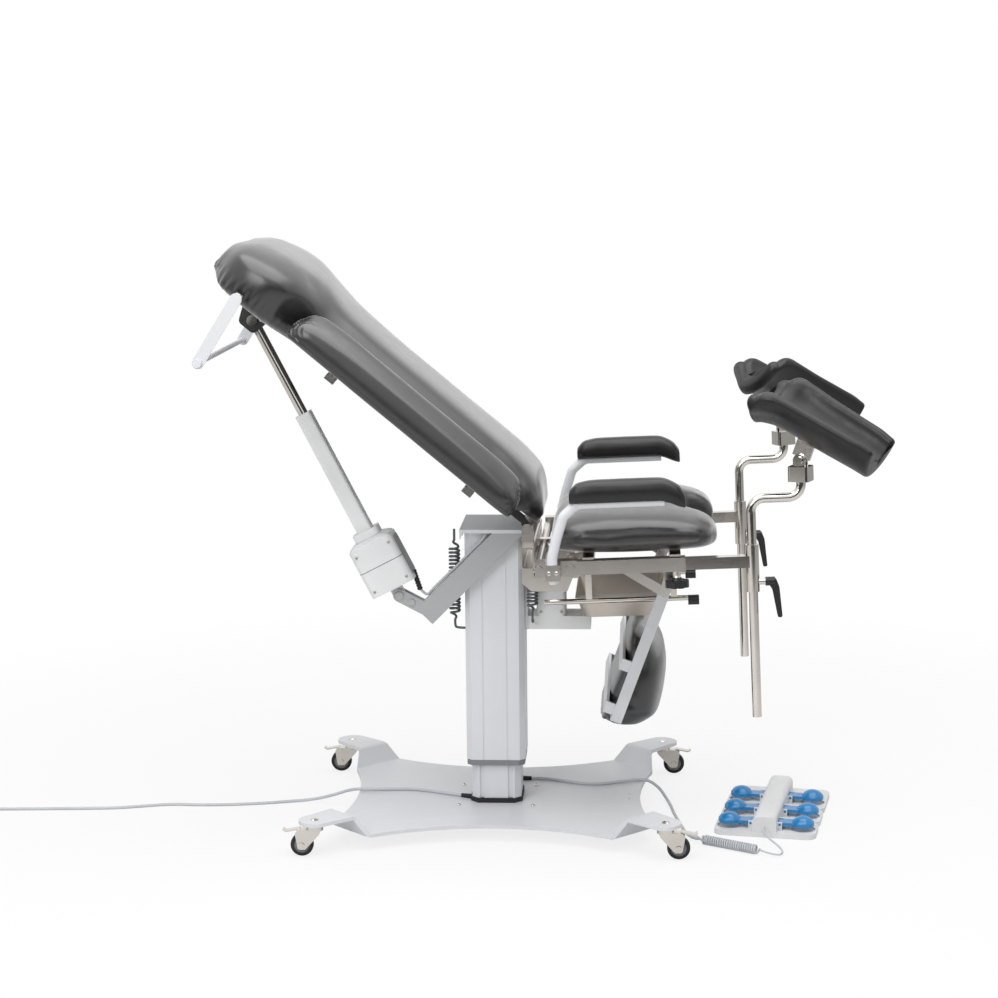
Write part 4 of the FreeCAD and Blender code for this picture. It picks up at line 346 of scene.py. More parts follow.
def painted(name, colour, roughness):
    """A powder coat: fine orange peel, faint clouding and a soft coat."""
    material, tree, shader = new_material(name)
    spread_colour(tree, shader, object_noise(tree, 5.0), colour, 0.022)
    spread_roughness(tree, shader, object_noise(tree, 90.0), roughness - 0.05, roughness + 0.07)
    set_inputs(shader, {"Coat Weight": 0.12, "Coat Roughness": 0.25})
    add_bump(tree, shader, object_noise(tree, 700.0, 2.0), 0.05, 0.0002)
    return material


def make_finishes():
    """Every finish of the chair by name."""
    cover, bare, plastic = settings("upholstery"), settings("metal"), settings("plastic")
    return {
        "cover": leather("grey_cover", cover.cover, cover.grain, 0.34, 1.0),
        "black_cover": leather("black_cover", cover.black, cover.grain, 0.36, 0.05),
        "foam": moulded("black_foam_skin", shade(cover.black, 0.6), 0.36, 0.0014, 0.0003, 0.4),
        "pad_foam": moulded("black_armrest_skin", shade(cover.black, 0.6), 0.38, 0.0014, 0.0003, 0.45),
        "paint": painted("white_powder_coat", bare.paint, 0.40),
        "profile": painted("anodised_profile", shade(bare.paint, 1.02), 0.34),
        "chrome": metal("plated_tube", bare.chrome, 0.11),
        "steel": metal("brushed_steel", bare.steel, 0.34, (1, 22, 22)),
        "alloy": metal("satin_alloy", bare.alloy, 0.38, (1, 14, 14)),
        "silver": painted("silver_paint", shade(bare.alloy, 0.62), 0.38),
        "zinc": metal("zinc_plate", bare.chrome, 0.20),
        "white": moulded("white_plastic", plastic.white, 0.42, 0.0012, 0.0002),
        "grey": moulded("grey_plastic", plastic.grey, 0.5, 0.0012, 0.0002),
        "black": moulded("black_plastic", plastic.black, 0.38, 0.001, 0.0002),
        "rubber": moulded("black_rubber", plastic.rubber, 0.6, 0.0009, 0.0003, 0.3),
        "blue": moulded("blue_dome", plastic.blue, 0.22, 0.002, 0.00005, 0.6),
        "lead": moulded("grey_lead", plastic.lead, 0.5, 0.0007, 0.0001),
        "cable": moulded("dark_cable", plastic.cable, 0.48, 0.0007, 0.0001),
    }


FINISHES = {}

# Which finish each node of the frame gets; some faces then get another by split_faces
NODE_FINISH = {
    "base_plate": "paint", "caster_bolts": "zinc", "column_foot_gasket": "rubber",
    "column_inner_profile": "profile", "lift_drive_rod": "steel", "column_outer_profile": "profile",
    "lift_drive_motor": "black", "column_head_plate": "paint", "support_arm": "silver",
    "cross_tube": "zinc", "seat_actuator": "white", "back_frame": "black", "paper_holder": "paint",
    "paper_rod": "paint", "back_actuator": "white", "back_actuator_rod": "chrome",
    "seat_frame": "zinc", "armrest_tubes": "paint", "basin_rails": "chrome", "basin": "steel",
    "seat_actuator_rod": "chrome", "footrest_frame": "alloy", "pedal_housing": "white",
    "mains_plug": "black",
}
NODE_STARTS = {
    "caster_fork": "zinc", "caster_wheel": "rubber", "leg_bar": "chrome", "leg_post": "chrome",
    "leg_clamp": "chrome", "clamp_lever": "black", "star_knob": "black", "pedal_": "blue",
}


def node_finish(name):
    """The finish of a node that stays in view, or nothing for one that is replaced."""
    if name in NODE_FINISH:
        return NODE_FINISH[name]
    for start, finish in NODE_STARTS.items():
        if name.startswith(start):
            return finish
    return None


def split_faces(node, finish, chosen):
    """Give the faces of a node whose middle chosen(point) picks another finish."""
    mesh = NODES[node].data
    mesh.materials.append(FINISHES[finish])
    slot = len(mesh.materials) - 1
    for face in mesh.polygons:
        if chosen(face.center):
            face.material_index = slot


# Mesh helpers

def add_object(name, data, finish=None):
    """A new object at the origin, with a finish if one is named."""
    piece = bpy.data.objects.new(name, data)
    bpy.context.scene.collection.objects.link(piece)
    if finish:
        data.materials.append(FINISHES[finish])
    return piece


def flat_sheet(name, half_x, half_y, place, material):
    """A flat piece of the stage about the middle of a place."""
    corners = [(-half_x, -half_y, 0), (half_x, -half_y, 0), (half_x, half_y, 0), (-half_x, half_y, 0)]
    mesh = bpy.data.meshes.new(name)
    mesh.from_pydata([place @ Vector(c) for c in corners], [], [(0, 1, 2, 3)])
    mesh.materials.append(material)
    return add_object(name, mesh)


def plain_mesh(piece):
    """The mesh of a piece as its modifiers leave it."""
    graph = bpy.context.evaluated_depsgraph_get()
    return bpy.data.meshes.new_from_object(piece.evaluated_get(graph))


def bake(piece):
    """Turn a mesh with its modifiers into a plain mesh."""
    mesh, old = plain_mesh(piece), piece.data
    piece.modifiers.clear()
    piece.data = mesh
    if old.users == 0:
        bpy.data.meshes.remove(old)


def mesh_from(name, shape):
    """A mesh made from a bmesh, which is freed."""
    mesh = bpy.data.meshes.new(name)
    shape.to_mesh(mesh)
    shape.free()
    return mesh


def smooth(piece):
    """Shade every face of a piece smooth."""
    piece.data.polygons.foreach_set("use_smooth", [True] * len(piece.data.polygons))
    return piece


def ring_piece(name, rings, place, finish=None, hollow=False):
    """A skin through rings of points, its ends closed by fans or its last ring joined to the first."""
    skin = bmesh.new()
    rows = [[skin.verts.new(place @ Vector(p)) for p in ring] for ring in rings]
    count = len(rings[0])
    for a, b in zip(rows, rows[1:] + rows[:1] if hollow else rows[1:]):
        for k in range(count):
            n = (k + 1) % count
            skin.faces.new((a[k], a[n], b[n], b[k]))
    for row, ring in () if hollow else ((rows[0], rings[0]), (rows[-1], rings[-1])):
        middle = sum((Vector(p) for p in ring), Vector()) / count
        tip = skin.verts.new(place @ middle)
        for k in range(count):
            skin.faces.new((row[k], row[(k + 1) % count], tip))
    bmesh.ops.recalc_face_normals(skin, faces=skin.faces)
    return add_object(name, mesh_from(name, skin), finish)


def round_rings(profile, count):
    """Rings of a turned shape through pairs of radius and height."""
    turns = [math.tau * k / count for k in range(count)]
    return [[(radius * math.cos(a), radius * math.sin(a), z) for a in turns] for radius, z in profile]


def smooth_step(x):
    """A rise from 0 to 1 that starts and ends level."""
    x = max(0.0, min(1.0, x))
    return x * x * (3 - 2 * x)


def monotone(xs, ys, x):
    """Value at x of the smooth curve through points that never overshoots them."""
    k = max(i for i in range(len(xs) - 1) if xs[i] <= x) if x > xs[0] else 0
    slopes = [(ys[i + 1] - ys[i]) / (xs[i + 1] - xs[i]) for i in range(len(xs) - 1)]

    def tangent(i):
        if i == 0:
            return slopes[0]
        if i == len(xs) - 1:
            return slopes[-1]
        before, after = slopes[i - 1], slopes[i]
        return 0.0 if before * after <= 0 else 2 * before * after / (before + after)
    step = xs[k + 1] - xs[k]
    t = (x - xs[k]) / step
    a, b = tangent(k) * step, tangent(k + 1) * step
    return ((2 * t ** 3 - 3 * t ** 2 + 1) * ys[k] + (t ** 3 - 2 * t ** 2 + t) * a
            + (3 * t ** 2 - 2 * t ** 3) * ys[k + 1] + (t ** 3 - t ** 2) * b)


# Bends of a pad's section: how high its sides are fullest, and how square its sides, foot and base are
FULLEST = 0.52
SIDE_BEND = 0.52
FOOT_BEND = 0.42
BASE_BEND = 0.36
# Rounded ends of a pad: turns of the closing rings in degrees, how fast they narrow, and their height's
# fixed and shrinking shares
END_TURNS = (25, 50, 72)
END_NARROW = 1.4
END_HEIGHT = (0.55, 0.45)


def pad_section(at, half, edge, crown, base, draw, count, square):
    """One ring of a stuffed pad: flat base, drawn-in foot, full sides and a crowned top."""
    middle = base + FULLEST * edge
    ring = []
    for k in range(count):
        angle = 2 * math.pi * k / count
        across, up = math.cos(angle), math.sin(angle)
        if up >= 0:
            y = half * math.copysign(abs(across) ** SIDE_BEND, across)
            z = middle + (base + crown - middle) * up ** square
        else:
            fall = abs(up) ** FOOT_BEND
            y = (half - draw * fall) * math.copysign(abs(across) ** BASE_BEND, across)
            z = middle - (middle - base) * fall
        ring.append((at, y, z))
    return ring


def pad_rings(stations, base, draw, bull, step=8.0, count=72, square=0.72):
    """Rings through stations of place, half width, edge height and crown height, with rounded ends."""
    columns = list(zip(*stations))
    start, end = columns[0][0], columns[0][-1]

    def section(at, half, edge, crown):
        """One ring of this pad."""
        return pad_section(at, half, edge, crown, base, draw, count, square)

    def end_rings(at, half, edge, crown, way):
        """Rings outward from one end, each lower and narrower."""
        closing = []
        for turn in map(math.radians, END_TURNS):
            shrink, push = math.cos(turn), bull * math.sin(turn)
            low = END_HEIGHT[0] + END_HEIGHT[1] * shrink
            narrow = END_NARROW * bull * (1 - shrink)
            closing.append(section(at + way * push, half - narrow, edge * low, crown * low))
        return closing
    rounds = max(2, round((end - start) / step))
    rings = end_rings(*stations[0], -1)[::-1]
    for k in range(rounds + 1):
        at = start + (end - start) * k / rounds
        rings.append(section(at, *[monotone(columns[0], c, at) for c in columns[1:]]))
    return rings + end_rings(*stations[-1], 1)


def scaled(stations, wide, tall, lift=0.0):
    """Stations whose half widths and heights are shares of given sizes, the heights then raised."""
    return [(at, half * wide, lift + edge * tall, lift + crown * tall) for at, half, edge, crown in stations]


CLOTH_FRAMES = 12
CLOTH = {
    "quality": 4, "mass": 0.4, "tension_stiffness": 14, "compression_stiffness": 14,
    "bending_stiffness": 1.5, "use_pressure": True, "uniform_pressure_force": 4.0,
}
# So far above a pad's base, in millimetres, its cover is held on the board
BOARD_BAND = 2.0


def stuff(piece, place, base, swell):
    """Let cloth under pressure fill a pad by at most swell; its base stays on its board."""
    back = place.inverted()
    rest = [v.co.copy() for v in piece.data.vertices]
    held = piece.vertex_groups.new(name="board")
    held.add([i for i, p in enumerate(rest) if (back @ p).z < base + BOARD_BAND], 1.0, "REPLACE")
    cloth = piece.modifiers.new("stuffing", "CLOTH")
    for name, value in CLOTH.items():
        setattr(cloth.settings, name, value)
    cloth.settings.vertex_group_mass = held.name
    cloth.settings.effector_weights.gravity = 0
    for number in range(1, CLOTH_FRAMES + 1):
        bpy.context.scene.frame_set(number)
    filled = plain_mesh(piece)
    for vertex, start in zip(filled.vertices, rest):
        move = vertex.co - start
        if move.length > swell:
            vertex.co = start + move * (swell / move.length)
    piece.modifiers.clear()
    piece.vertex_groups.clear()
    piece.data = filled
    bpy.context.scene.frame_set(1)


def relax(piece, rounds):
    """Even out small steps in a mesh."""
    shape = bmesh.new()
    shape.from_mesh(piece.data)
    for _ in range(rounds):
        bmesh.ops.smooth_vert(shape, verts=shape.verts, factor=0.5, use_axis_x=True, use_axis_y=True,
                              use_axis_z=True)
    shape.to_mesh(piece.data)
    shape.free()


def refine(piece):
    """One level of subdivision, baked."""
    levels = piece.modifiers.new("refine", "SUBSURF")
    levels.levels = 1
    levels.render_levels = 1
    bake(piece)


def fill_pad(piece, place, base, swell, before, after=0):
    """Stuff a pad and refine its mesh, evened out some rounds before and after."""
    stuff(piece, place, base, swell)
    relax(piece, before)
    refine(piece)
    if after:
        relax(piece, after)


def work_surface(piece, place, rule):
    """Move each point along its normal by a rule's height, in millimetres, and store the rule's painted shade
    for the cover's colour.
    """
    back = place.inverted()
    normals = [v.normal.copy() for v in piece.data.vertices]
    # Painted shade per point, which the cover's colour reads back
    painted_shades = []
    for vertex, normal in zip(piece.data.vertices, normals):
        height, painted_shade = rule(back @ vertex.co, (back.to_3x3() @ normal).normalized())
        vertex.co += normal * (height * MM)
        painted_shades.append(painted_shade)
    mark = piece.data.attributes.new("painted_shade", "FLOAT", "POINT")
    mark.data.foreach_set("value", painted_shades)


def wander(x, y, seed):
    """Slow noise between -1 and 1 on a plane."""
    return noise.noise(Vector((x, y, seed)))


def finish_pad(piece, finish, body, node):
    """The last calls on a padded piece."""
    smooth(piece)
    piece.data.materials.append(FINISHES[finish])
    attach(piece, body)
    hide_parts(node)


# Stage

AIM = at_foot(0.1, 0, 0.6)
FLOOR_REACH = 30.0


def facing(place):
    """A place turned to look at the middle of the chair."""
    return Matrix.Translation(place) @ (AIM - place).to_track_quat("-Z", "Y").to_matrix().to_4x4()


class CHAIR_OT_stage(bpy.types.Operator):
    """Floor, lamps, surroundings and camera."""

    bl_idname = "chair.stage"
    bl_label = "Stage"

    def execute(self, context):
        stage = settings("stage")
        self.make_camera(context.scene, stage)
        self.make_floor(stage)
        self.make_world(context.scene, stage)
        self.add_lamp("overhead_lamp", stage.overhead, 3.4, at_foot(0.15, -0.5, 3.1))
        self.add_lamp("front_lamp", stage.front, 1.6, at_foot(-1.5, -3.5, 2.2))
        self.add_card("left_card", 1.1, 3.2, at_foot(-2.6, -3.6, 1.2))
        self.add_card("right_card", 0.9, 3.2, at_foot(3.0, -3.2, 1.2))
        self.add_card("front_card", 7.0, 1.7, at_foot(0.3, -3.4, 0.35), 0.05)
        context.scene.view_settings.view_transform = "Standard"
        return {"FINISHED"}

    def make_camera(self, scene, stage):
        """The photograph's viewpoint: a little above the chair and slightly from its leg end."""
        yaw, pitch, roll = 0.0617, 0.1586, -0.0096
        eye = at_foot(0.3202, -5.0685, 1.543)
        forward = Vector((-math.sin(yaw) * math.cos(pitch), math.cos(yaw) * math.cos(pitch),
                          -math.sin(pitch)))
        right = Vector((math.cos(yaw), math.sin(yaw), 0))
        up = right.cross(forward)
        turned_right = math.cos(roll) * right + math.sin(roll) * up
        turned_up = -math.sin(roll) * right + math.cos(roll) * up
        axes = Matrix((turned_right, turned_up, -forward)).transposed().to_4x4()
        lens = bpy.data.cameras.new("camera")
        lens.lens = stage.lens
        lens.sensor_width = 36.0
        lens.clip_end = 200.0
        camera = add_object("camera", lens)
        camera.matrix_world = Matrix.Translation(eye) @ axes
        scene.camera = camera

    def make_floor(self, stage):
        """A wide pale floor that stays near white and keeps a soft shadow."""
        material, tree, shader = new_material("pale_floor")
        shader.inputs["Roughness"].default_value = 0.85
        spread_colour(tree, shader, object_noise(tree, 0.7), stage.floor, 0.01)
        glow = add_node(tree, "ShaderNodeEmission")
        path = add_node(tree, "ShaderNodeLightPath")
        share = add_node(tree, "ShaderNodeMath", operation="MULTIPLY")
        mixed = add_node(tree, "ShaderNodeMixShader")
        wire(tree, (path.outputs["Is Camera Ray"], share.inputs[0]),
             (self.glow_by_distance(tree), share.inputs[1]), (share.outputs[0], mixed.inputs[0]),
             (shader.outputs[0], mixed.inputs[1]), (glow.outputs[0], mixed.inputs[2]),
             (mixed.outputs[0], tree.nodes["Material Output"].inputs["Surface"]))
        floor = flat_sheet("floor", FLOOR_REACH, FLOOR_REACH, Matrix.Identity(4), material)

    def glow_by_distance(self, tree):
        """How much of the floor is plain white: most of it under the chair, all of it far away."""
        coordinates = add_node(tree, "ShaderNodeTexCoord")
        away = add_node(tree, "ShaderNodeVectorMath", operation="LENGTH")
        span = add_node(tree, "ShaderNodeMapRange", {"From Min": 0.9, "From Max": 2.6, "To Min": 0.80,
                                                     "To Max": 1.0}, interpolation_type="SMOOTHSTEP")
        wire(tree, (coordinates.outputs["Object"], away.inputs[0]),
             (away.outputs["Value"], span.inputs["Value"]))
        return span.outputs["Result"]

    def make_world(self, scene, stage):
        """Even pale surroundings: white to the eye and in reflections, softer as light."""
        world = bpy.data.worlds.new("surroundings")
        world.use_nodes = True
        tree = world.node_tree
        back = tree.nodes["Background"]
        back.inputs["Color"].default_value = (1, 1, 1, 1)
        path = add_node(tree, "ShaderNodeLightPath")
        seen = add_node(tree, "ShaderNodeMath", operation="MAXIMUM")
        span = add_node(tree, "ShaderNodeMapRange", {"To Min": stage.ambient})
        wire(tree, (path.outputs["Is Camera Ray"], seen.inputs[0]),
             (path.outputs["Is Glossy Ray"], seen.inputs[1]), (seen.outputs[0], span.inputs["Value"]),
             (span.outputs["Result"], back.inputs["Strength"]))
        scene.world = world

    def add_lamp(self, name, power, size, place):
        """A large soft lamp aimed at the chair."""
        light = bpy.data.lights.new(name, "AREA")
        light.energy = power
        light.size = size
        add_object(name, light).matrix_world = facing(place)

    def add_card(self, name, width, height, place, grey=0.02):
        """A dark studio card beside the camera that only reflections show."""
        material, tree, shader = new_material(name)
        shader.inputs["Roughness"].default_value = 0.9
        spread_colour(tree, shader, object_noise(tree, 2.0), (grey, grey, grey), 0.05)
        card = flat_sheet(name, width / 2, height / 2, facing(place), material)
        card.visible_camera = False
        card.visible_diffuse = False
        card.visible_shadow = False


# Finishes of the frame

class CHAIR_OT_finishes(bpy.types.Operator):
    """Finish every node of the frame that stays in view."""

    bl_idname = "chair.finishes"
    bl_label = "Frame finishes"

    def execute(self, context):
        FINISHES.update(make_finishes())
        for name, node in NODES.items():
            finish = node_finish(name)
            if finish:
                node.data.materials.clear()
                node.data.materials.append(FINISHES[finish])
        self.split_wheels()
        self.split_small_pieces()
        return {"FINISHED"}

    def split_wheels(self):
        """Grey hubs inside the black tyres."""
        for name in NODES:
            if name.startswith("caster_wheel"):
                low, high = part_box(name)
                middle = (low + high) / 2
                radius = (high.z - low.z) / 2

                def in_hub(point, middle=middle, radius=radius):
                    return math.hypot(point.x - middle.x, point.z - middle.z) < 0.685 * radius
                split_faces(name, "grey", in_hub)

    def split_small_pieces(self):
        """The column's grey edge, zinc latches under the wings, black rail caps and plated nuts."""
        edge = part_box("column_outer_profile")[0].z + 0.0125
        split_faces("column_outer_profile", "grey", lambda p: p.z < edge)
        split_faces("back_frame", "zinc", lambda p: abs(p.y) > 0.2435)
        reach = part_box("basin_rails")[1].x
        split_faces("basin_rails", "black", lambda p: p.x > reach - 0.0245)
        for side in SIDES:
            low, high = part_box("star_knob_" + side)
            edge = high.z - 0.42 * (high.z - low.z)
            split_faces("star_knob_" + side, "chrome", lambda p, edge=edge: p.z > edge)


# Cords

# Control points in one turn of a curl and of the coil
CURL_STEPS = 14
COIL_STEPS = 16


def cord_curve(name, points, radius, finish):
    """A cord as one smooth spline through its route's control points."""
    curve = bpy.data.curves.new(name, "CURVE")
    curve.dimensions = "3D"
    curve.bevel_depth = radius
    curve.bevel_resolution = 3
    curve.resolution_u = 6
    curve.use_fill_caps = True
    line = curve.splines.new("NURBS")
    line.points.add(len(points) - 1)
    for point, place in zip(line.points, points):
        point.co = (*place, 1)
    line.order_u = 3
    line.use_endpoint_u = True
    return add_object(name, curve, finish)


def spline_line(cord):
    """Points along a cord's own line."""
    bare = cord.data.copy()
    bare.bevel_depth = 0
    probe = add_object("probe", bare)
    mesh = plain_mesh(probe)
    line = [v.co.copy() for v in mesh.vertices]
    bpy.data.objects.remove(probe)
    bpy.data.curves.remove(bare)
    bpy.data.meshes.remove(mesh)
    return line


def line_length(line):
    """The length of a line of points."""
    return sum((b - a).length for a, b in zip(line, line[1:]))


def curl_points(start, end, radius, turns):
    """Control points of a curly cord between two points of its axis, opening and closing at its ends."""
    way = end - start
    length = way.length
    way.normalize()
    side = way.cross(Vector((0, 0, 1)) if abs(way.z) < 0.9 else Vector((1, 0, 0))).normalized()
    other = way.cross(side)
    slack = 1.3
    points = []
    for k in range(turns * CURL_STEPS + 1):
        t = k / CURL_STEPS
        opening = smooth_step(t) * smooth_step(turns - t)
        along = (t + slack * (smooth_step(t) + smooth_step(t - turns + 1))) / (turns + 2 * slack)
        angle = 2 * math.pi * t
        outward = side * math.cos(angle) + other * math.sin(angle)
        points.append(start + way * (length * along) + outward * (radius * opening))
    return points


def coil_points():
    """Control points of the put-away coil: a spiral in, a climb of one layer and a spiral out."""
    turns, pitch, inner, ease = 3.5, 0.0079, 0.026, 0.15
    tightest = turns + 0.25
    points = []
    for k in range(round((2 * turns + 0.5) * COIL_STEPS) + 1):
        t = k / COIL_STEPS
        radius = inner + pitch * math.hypot(t - tightest, ease)
        angle = math.pi / 2 + 2 * math.pi * t
        rise = pitch * smooth_step((t - turns) * 2)
        points.append(at_foot(COIL_MIDDLE[0] + radius * math.cos(angle),
                              COIL_MIDDLE[1] + radius * math.sin(angle), 0.0036 + rise))
    return points


class CHAIR_OT_cords(bpy.types.Operator):
    """Mains lead with its coil, pedal lead with its curl, and the actuators' curly cables."""

    bl_idname = "chair.cords"
    bl_label = "Cords"

    def execute(self, context):
        self.mains_lead()
        self.pedal_lead()
        self.actuator_cables()
        return {"FINISHED"}

    def mains_lead(self):
        """The grey lead over the base plate, put away in a coil past the left of the view."""
        coil = coil_points()
        start_way = (coil[0] - coil[1]).normalized()
        end_way = (coil[-1] - coil[-2]).normalized()
        points = [at_foot(*p) for p in MAINS_ROUTE] + [coil[0] + start_way * COIL_TAIL] + coil
        points.append(coil[-1] + end_way * COIL_TAIL)
        lead = cord_curve("mains_lead_cord", points, 0.0035, "lead")
        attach(lead, "base")
        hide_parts("mains_lead", "mains_coil")
        line_length(spline_line(lead))

    def pedal_lead(self):
        """The lead to the foot control: plain over the plate, curly on the floor."""
        curl = curl_points(at_foot(*CURL_ENDS[0]), at_foot(*CURL_ENDS[1]), 0.009, 25)
        points = [at_foot(*p) for p in PEDAL_ROUTE]
        points.append(curl[0] + (curl[0] - curl[1]).normalized() * 0.0044)
        lead = cord_curve("pedal_lead_cord", points, 0.0035, "lead")
        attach(lead, "base")
        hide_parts("pedal_lead")
        sleeve = self.sleeve(points[-2], points[-1])
        line_length(spline_line(lead))
        tail = [at_foot(*p) for p in TAIL_ROUTE]
        curly = cord_curve("pedal_curl_cord", [points[-1]] + curl + tail, 0.0022, "lead")
        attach(curly, "base")
        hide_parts("pedal_curl")
        line_length(spline_line(curly))

    def sleeve(self, before, end):
        """The moulded sleeve where the plain lead turns into the curl."""
        way = (end - before).normalized()
        turn = way.to_track_quat("Z", "Y").to_matrix().to_4x4()
        place = Matrix.Translation(end) @ turn @ MILLIMETRES
        profile = [(3.7, -20), (4.6, -18), (5.2, -6), (4.8, 0), (3.2, 5), (2.4, 6)]
        piece = smooth(ring_piece("pedal_lead_sleeve", round_rings(profile, 16), place, "lead"))
        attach(piece, "base")
        return piece

    def actuator_cables(self):
        """Two curly cables that hang beside the column."""
        cables = {
            "left": (at_foot(-0.092, -0.044, 0.646), at_foot(-0.092, -0.044, 0.462), 19, 0.670,
                     [(-0.092, -0.044, 0.449), (-0.089, -0.044, 0.443), (-0.068, -0.044, 0.443)]),
            "right": (at_foot(0.084, -0.068, 0.5905), at_foot(0.084, -0.068, 0.486), 11, 0.6055,
                      [(0.084, -0.068, 0.466), (0.084, -0.064, 0.460), (0.084, -0.042, 0.460)]),
        }
        for side, (top, low, turns, seat, tail) in cables.items():
            points = [Vector((top.x, top.y, seat))] + curl_points(top, low, 0.011, turns)
            points += [at_foot(*p) for p in tail]
            cable = cord_curve("actuator_cable_" + side, points, 0.0028, "cable")
            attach(cable, "column_head")
            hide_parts("actuator_cables")
            line_length(spline_line(cable))


# Trim of the back's actuator

CORNER_STEPS = 6


def rounded_loop(half_a, half_b, radius):
    """Points of a rectangle with round corners about the middle of a plane."""
    loop = []
    for k, (a, b) in enumerate(((1, 1), (-1, 1), (-1, -1), (1, -1))):
        for n in range(CORNER_STEPS + 1):
            turn = math.pi / 2 * (k + n / CORNER_STEPS)
            loop.append((a * (half_a - radius) + radius * math.cos(turn),
                         b * (half_b - radius) + radius * math.sin(turn)))
    return loop


class CHAIR_OT_actuator_trim(bpy.types.Operator):
    """Shoulder, seam, side panel, ribbed gland and thin cable of the back's actuator."""

    bl_idname = "chair.actuator_trim"
    bl_label = "Actuator trim"

    def execute(self, context):
        place = actuator_place()
        shoulder = [(135.5, 51, 39.5), (139, 50, 38.5), (143, 44, 35), (147.6, 33, 28), (147.6, 17, 17),
                    (135.5, 17, 17)]
        self.add("actuator_shoulder", [self.level(z, a, b, 14) for z, a, b in shoulder], place, "white", True)
        seam = [(82, 53.3, 41.8), (82.2, 53.8, 42.3), (83.8, 53.8, 42.3), (84, 53.3, 41.8)]
        self.add("actuator_seam", [self.level(z, a, b, 16) for z, a, b in seam], place, "grey")
        panel = [(53.2, 30, 48), (53.9, 30, 48), (54.3, 29.4, 47.4)]
        rings = [[(x, b, 80 + a) for b, a in rounded_loop(b, a, 9)] for x, b, a in panel]
        self.add("actuator_panel", rings, place, "grey")
        self.cable(self.gland())
        return {"FINISHED"}

    def level(self, z, half_x, half_y, radius):
        """One level ring round the housing."""
        return [(x, y, z) for x, y in rounded_loop(half_x, half_y, radius)]

    def add(self, name, rings, place, finish, hollow=False):
        """One moulded piece on the actuator."""
        piece = ring_piece(name, rings, place, finish, hollow)
        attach(piece, "back_actuator")

    def gland(self):
        """The ribbed gland from the housing, which stops short of the arm; gives its lower end."""
        top, low = at_foot(-0.1796, -0.087, 0.5816), at_foot(-0.1668, -0.087, 0.5426)
        profile = [(0.72, -0.55), (0.95, -0.36), (1.0, 0), (0.95, 0.36), (0.72, 0.55)]
        rib = ring_piece("gland_rib", round_rings(profile, 24), Matrix.Identity(4))
        count = 7
        places = [(top.lerp(low, k / (count - 1)), low - top) for k in range(count)]
        smooth(scatter("actuator_gland", "back_actuator", rib, places, 0.0062, "black"))
        return low

    def cable(self, start):
        """The thin grey cable that lies along the arm up to the column's head."""
        route = [(-0.152, -0.087, 0.523), (-0.138, -0.086, 0.541), (-0.118, -0.083, 0.560),
                 (-0.097, -0.088, 0.581), (-0.076, -0.091, 0.601), (-0.055, -0.087, 0.6235),
                 (-0.036, -0.083, 0.6415), (-0.022, -0.084, 0.656), (-0.016, -0.084, 0.6695)]
        cord = cord_curve("actuator_arm_cable", [start] + [at_foot(*p) for p in route], 0.003, "lead")
        line = spline_line(cord)
        mesh = plain_mesh(cord)
        bpy.data.objects.remove(cord)
        tube = smooth(add_object("actuator_arm_cable", mesh))
        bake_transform(tube)


# Repeated small parts

def scatter_tree():
    """Geometry nodes that set one part on every point, each turned by a seeded amount about its way."""
    tree = bpy.data.node_groups.new("chair_scatter", "GeometryNodeTree")
    for name, kind in (("Points", "Geometry"), ("Part", "Object"), ("Size", "Float"), ("Seed", "Int"),
                       ("Finish", "Material")):
        tree.interface.new_socket(name, in_out="INPUT", socket_type="NodeSocket" + kind)
    tree.interface.new_socket("Parts", in_out="OUTPUT", socket_type="NodeSocketGeometry")
    given, result = add_node(tree, "NodeGroupInput"), add_node(tree, "NodeGroupOutput")
    part = add_node(tree, "GeometryNodeObjectInfo")
    way = add_node(tree, "GeometryNodeInputNamedAttribute", {"Name": "way"}, data_type="FLOAT_VECTOR")
    align = add_node(tree, "FunctionNodeAlignRotationToVector", axis="Z")
    # Of a random value's sockets, input 3 is the greatest plain number and output 1 the number drawn
    chance = add_node(tree, "FunctionNodeRandomValue", {3: math.tau}, data_type="FLOAT")
    spin = add_node(tree, "FunctionNodeAxisAngleToRotation", {"Axis": (0, 0, 1)})
    turn = add_node(tree, "FunctionNodeRotateRotation", rotation_space="LOCAL")
    each = add_node(tree, "GeometryNodeInstanceOnPoints")
    real = add_node(tree, "GeometryNodeRealizeInstances")
    finish = add_node(tree, "GeometryNodeSetMaterial")
    for source, name, target, end in (
            (given, "Part", part, "Object"), (way, "Attribute", align, "Vector"),
            (given, "Seed", chance, "Seed"), (chance, 1, spin, "Angle"),
            (align, "Rotation", turn, "Rotation"), (spin, "Rotation", turn, "Rotate By"),
            (given, "Points", each, "Points"), (part, "Geometry", each, "Instance"),
            (turn, "Rotation", each, "Rotation"), (given, "Size", each, "Scale"),
            (each, "Instances", real, "Geometry"), (real, "Geometry", finish, "Geometry"),
            (given, "Finish", finish, "Material"), (finish, "Geometry", result, "Parts")):
        tree.links.new(source.outputs[name], target.inputs[end])
    return tree


def scatter(name, body, part, places, size, finish):
    """One body's copies of a small part at pairs of place and way, as a plain mesh; the part itself goes."""
    mesh = bpy.data.meshes.new(name)
    mesh.from_pydata([place for place, _ in places], [], [])
    ways = mesh.attributes.new("way", "FLOAT_VECTOR", "POINT")
    ways.data.foreach_set("vector", [c for _, way in places for c in way.normalized()])
    piece = add_object(name, mesh)
    tree = bpy.data.node_groups.get("chair_scatter") or scatter_tree()
    modifier = piece.modifiers.new("scatter", "NODES")
    modifier.node_group = tree
    values = {"Part": part, "Size": size, "Seed": 7, "Finish": FINISHES[finish]}
    for item in tree.interface.items_tree:
        if item.in_out == "INPUT" and item.name in values:
            modifier[item.identifier] = values[item.name]
    bake(piece)
    bpy.data.objects.remove(part)
    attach(piece, body)
    return piece


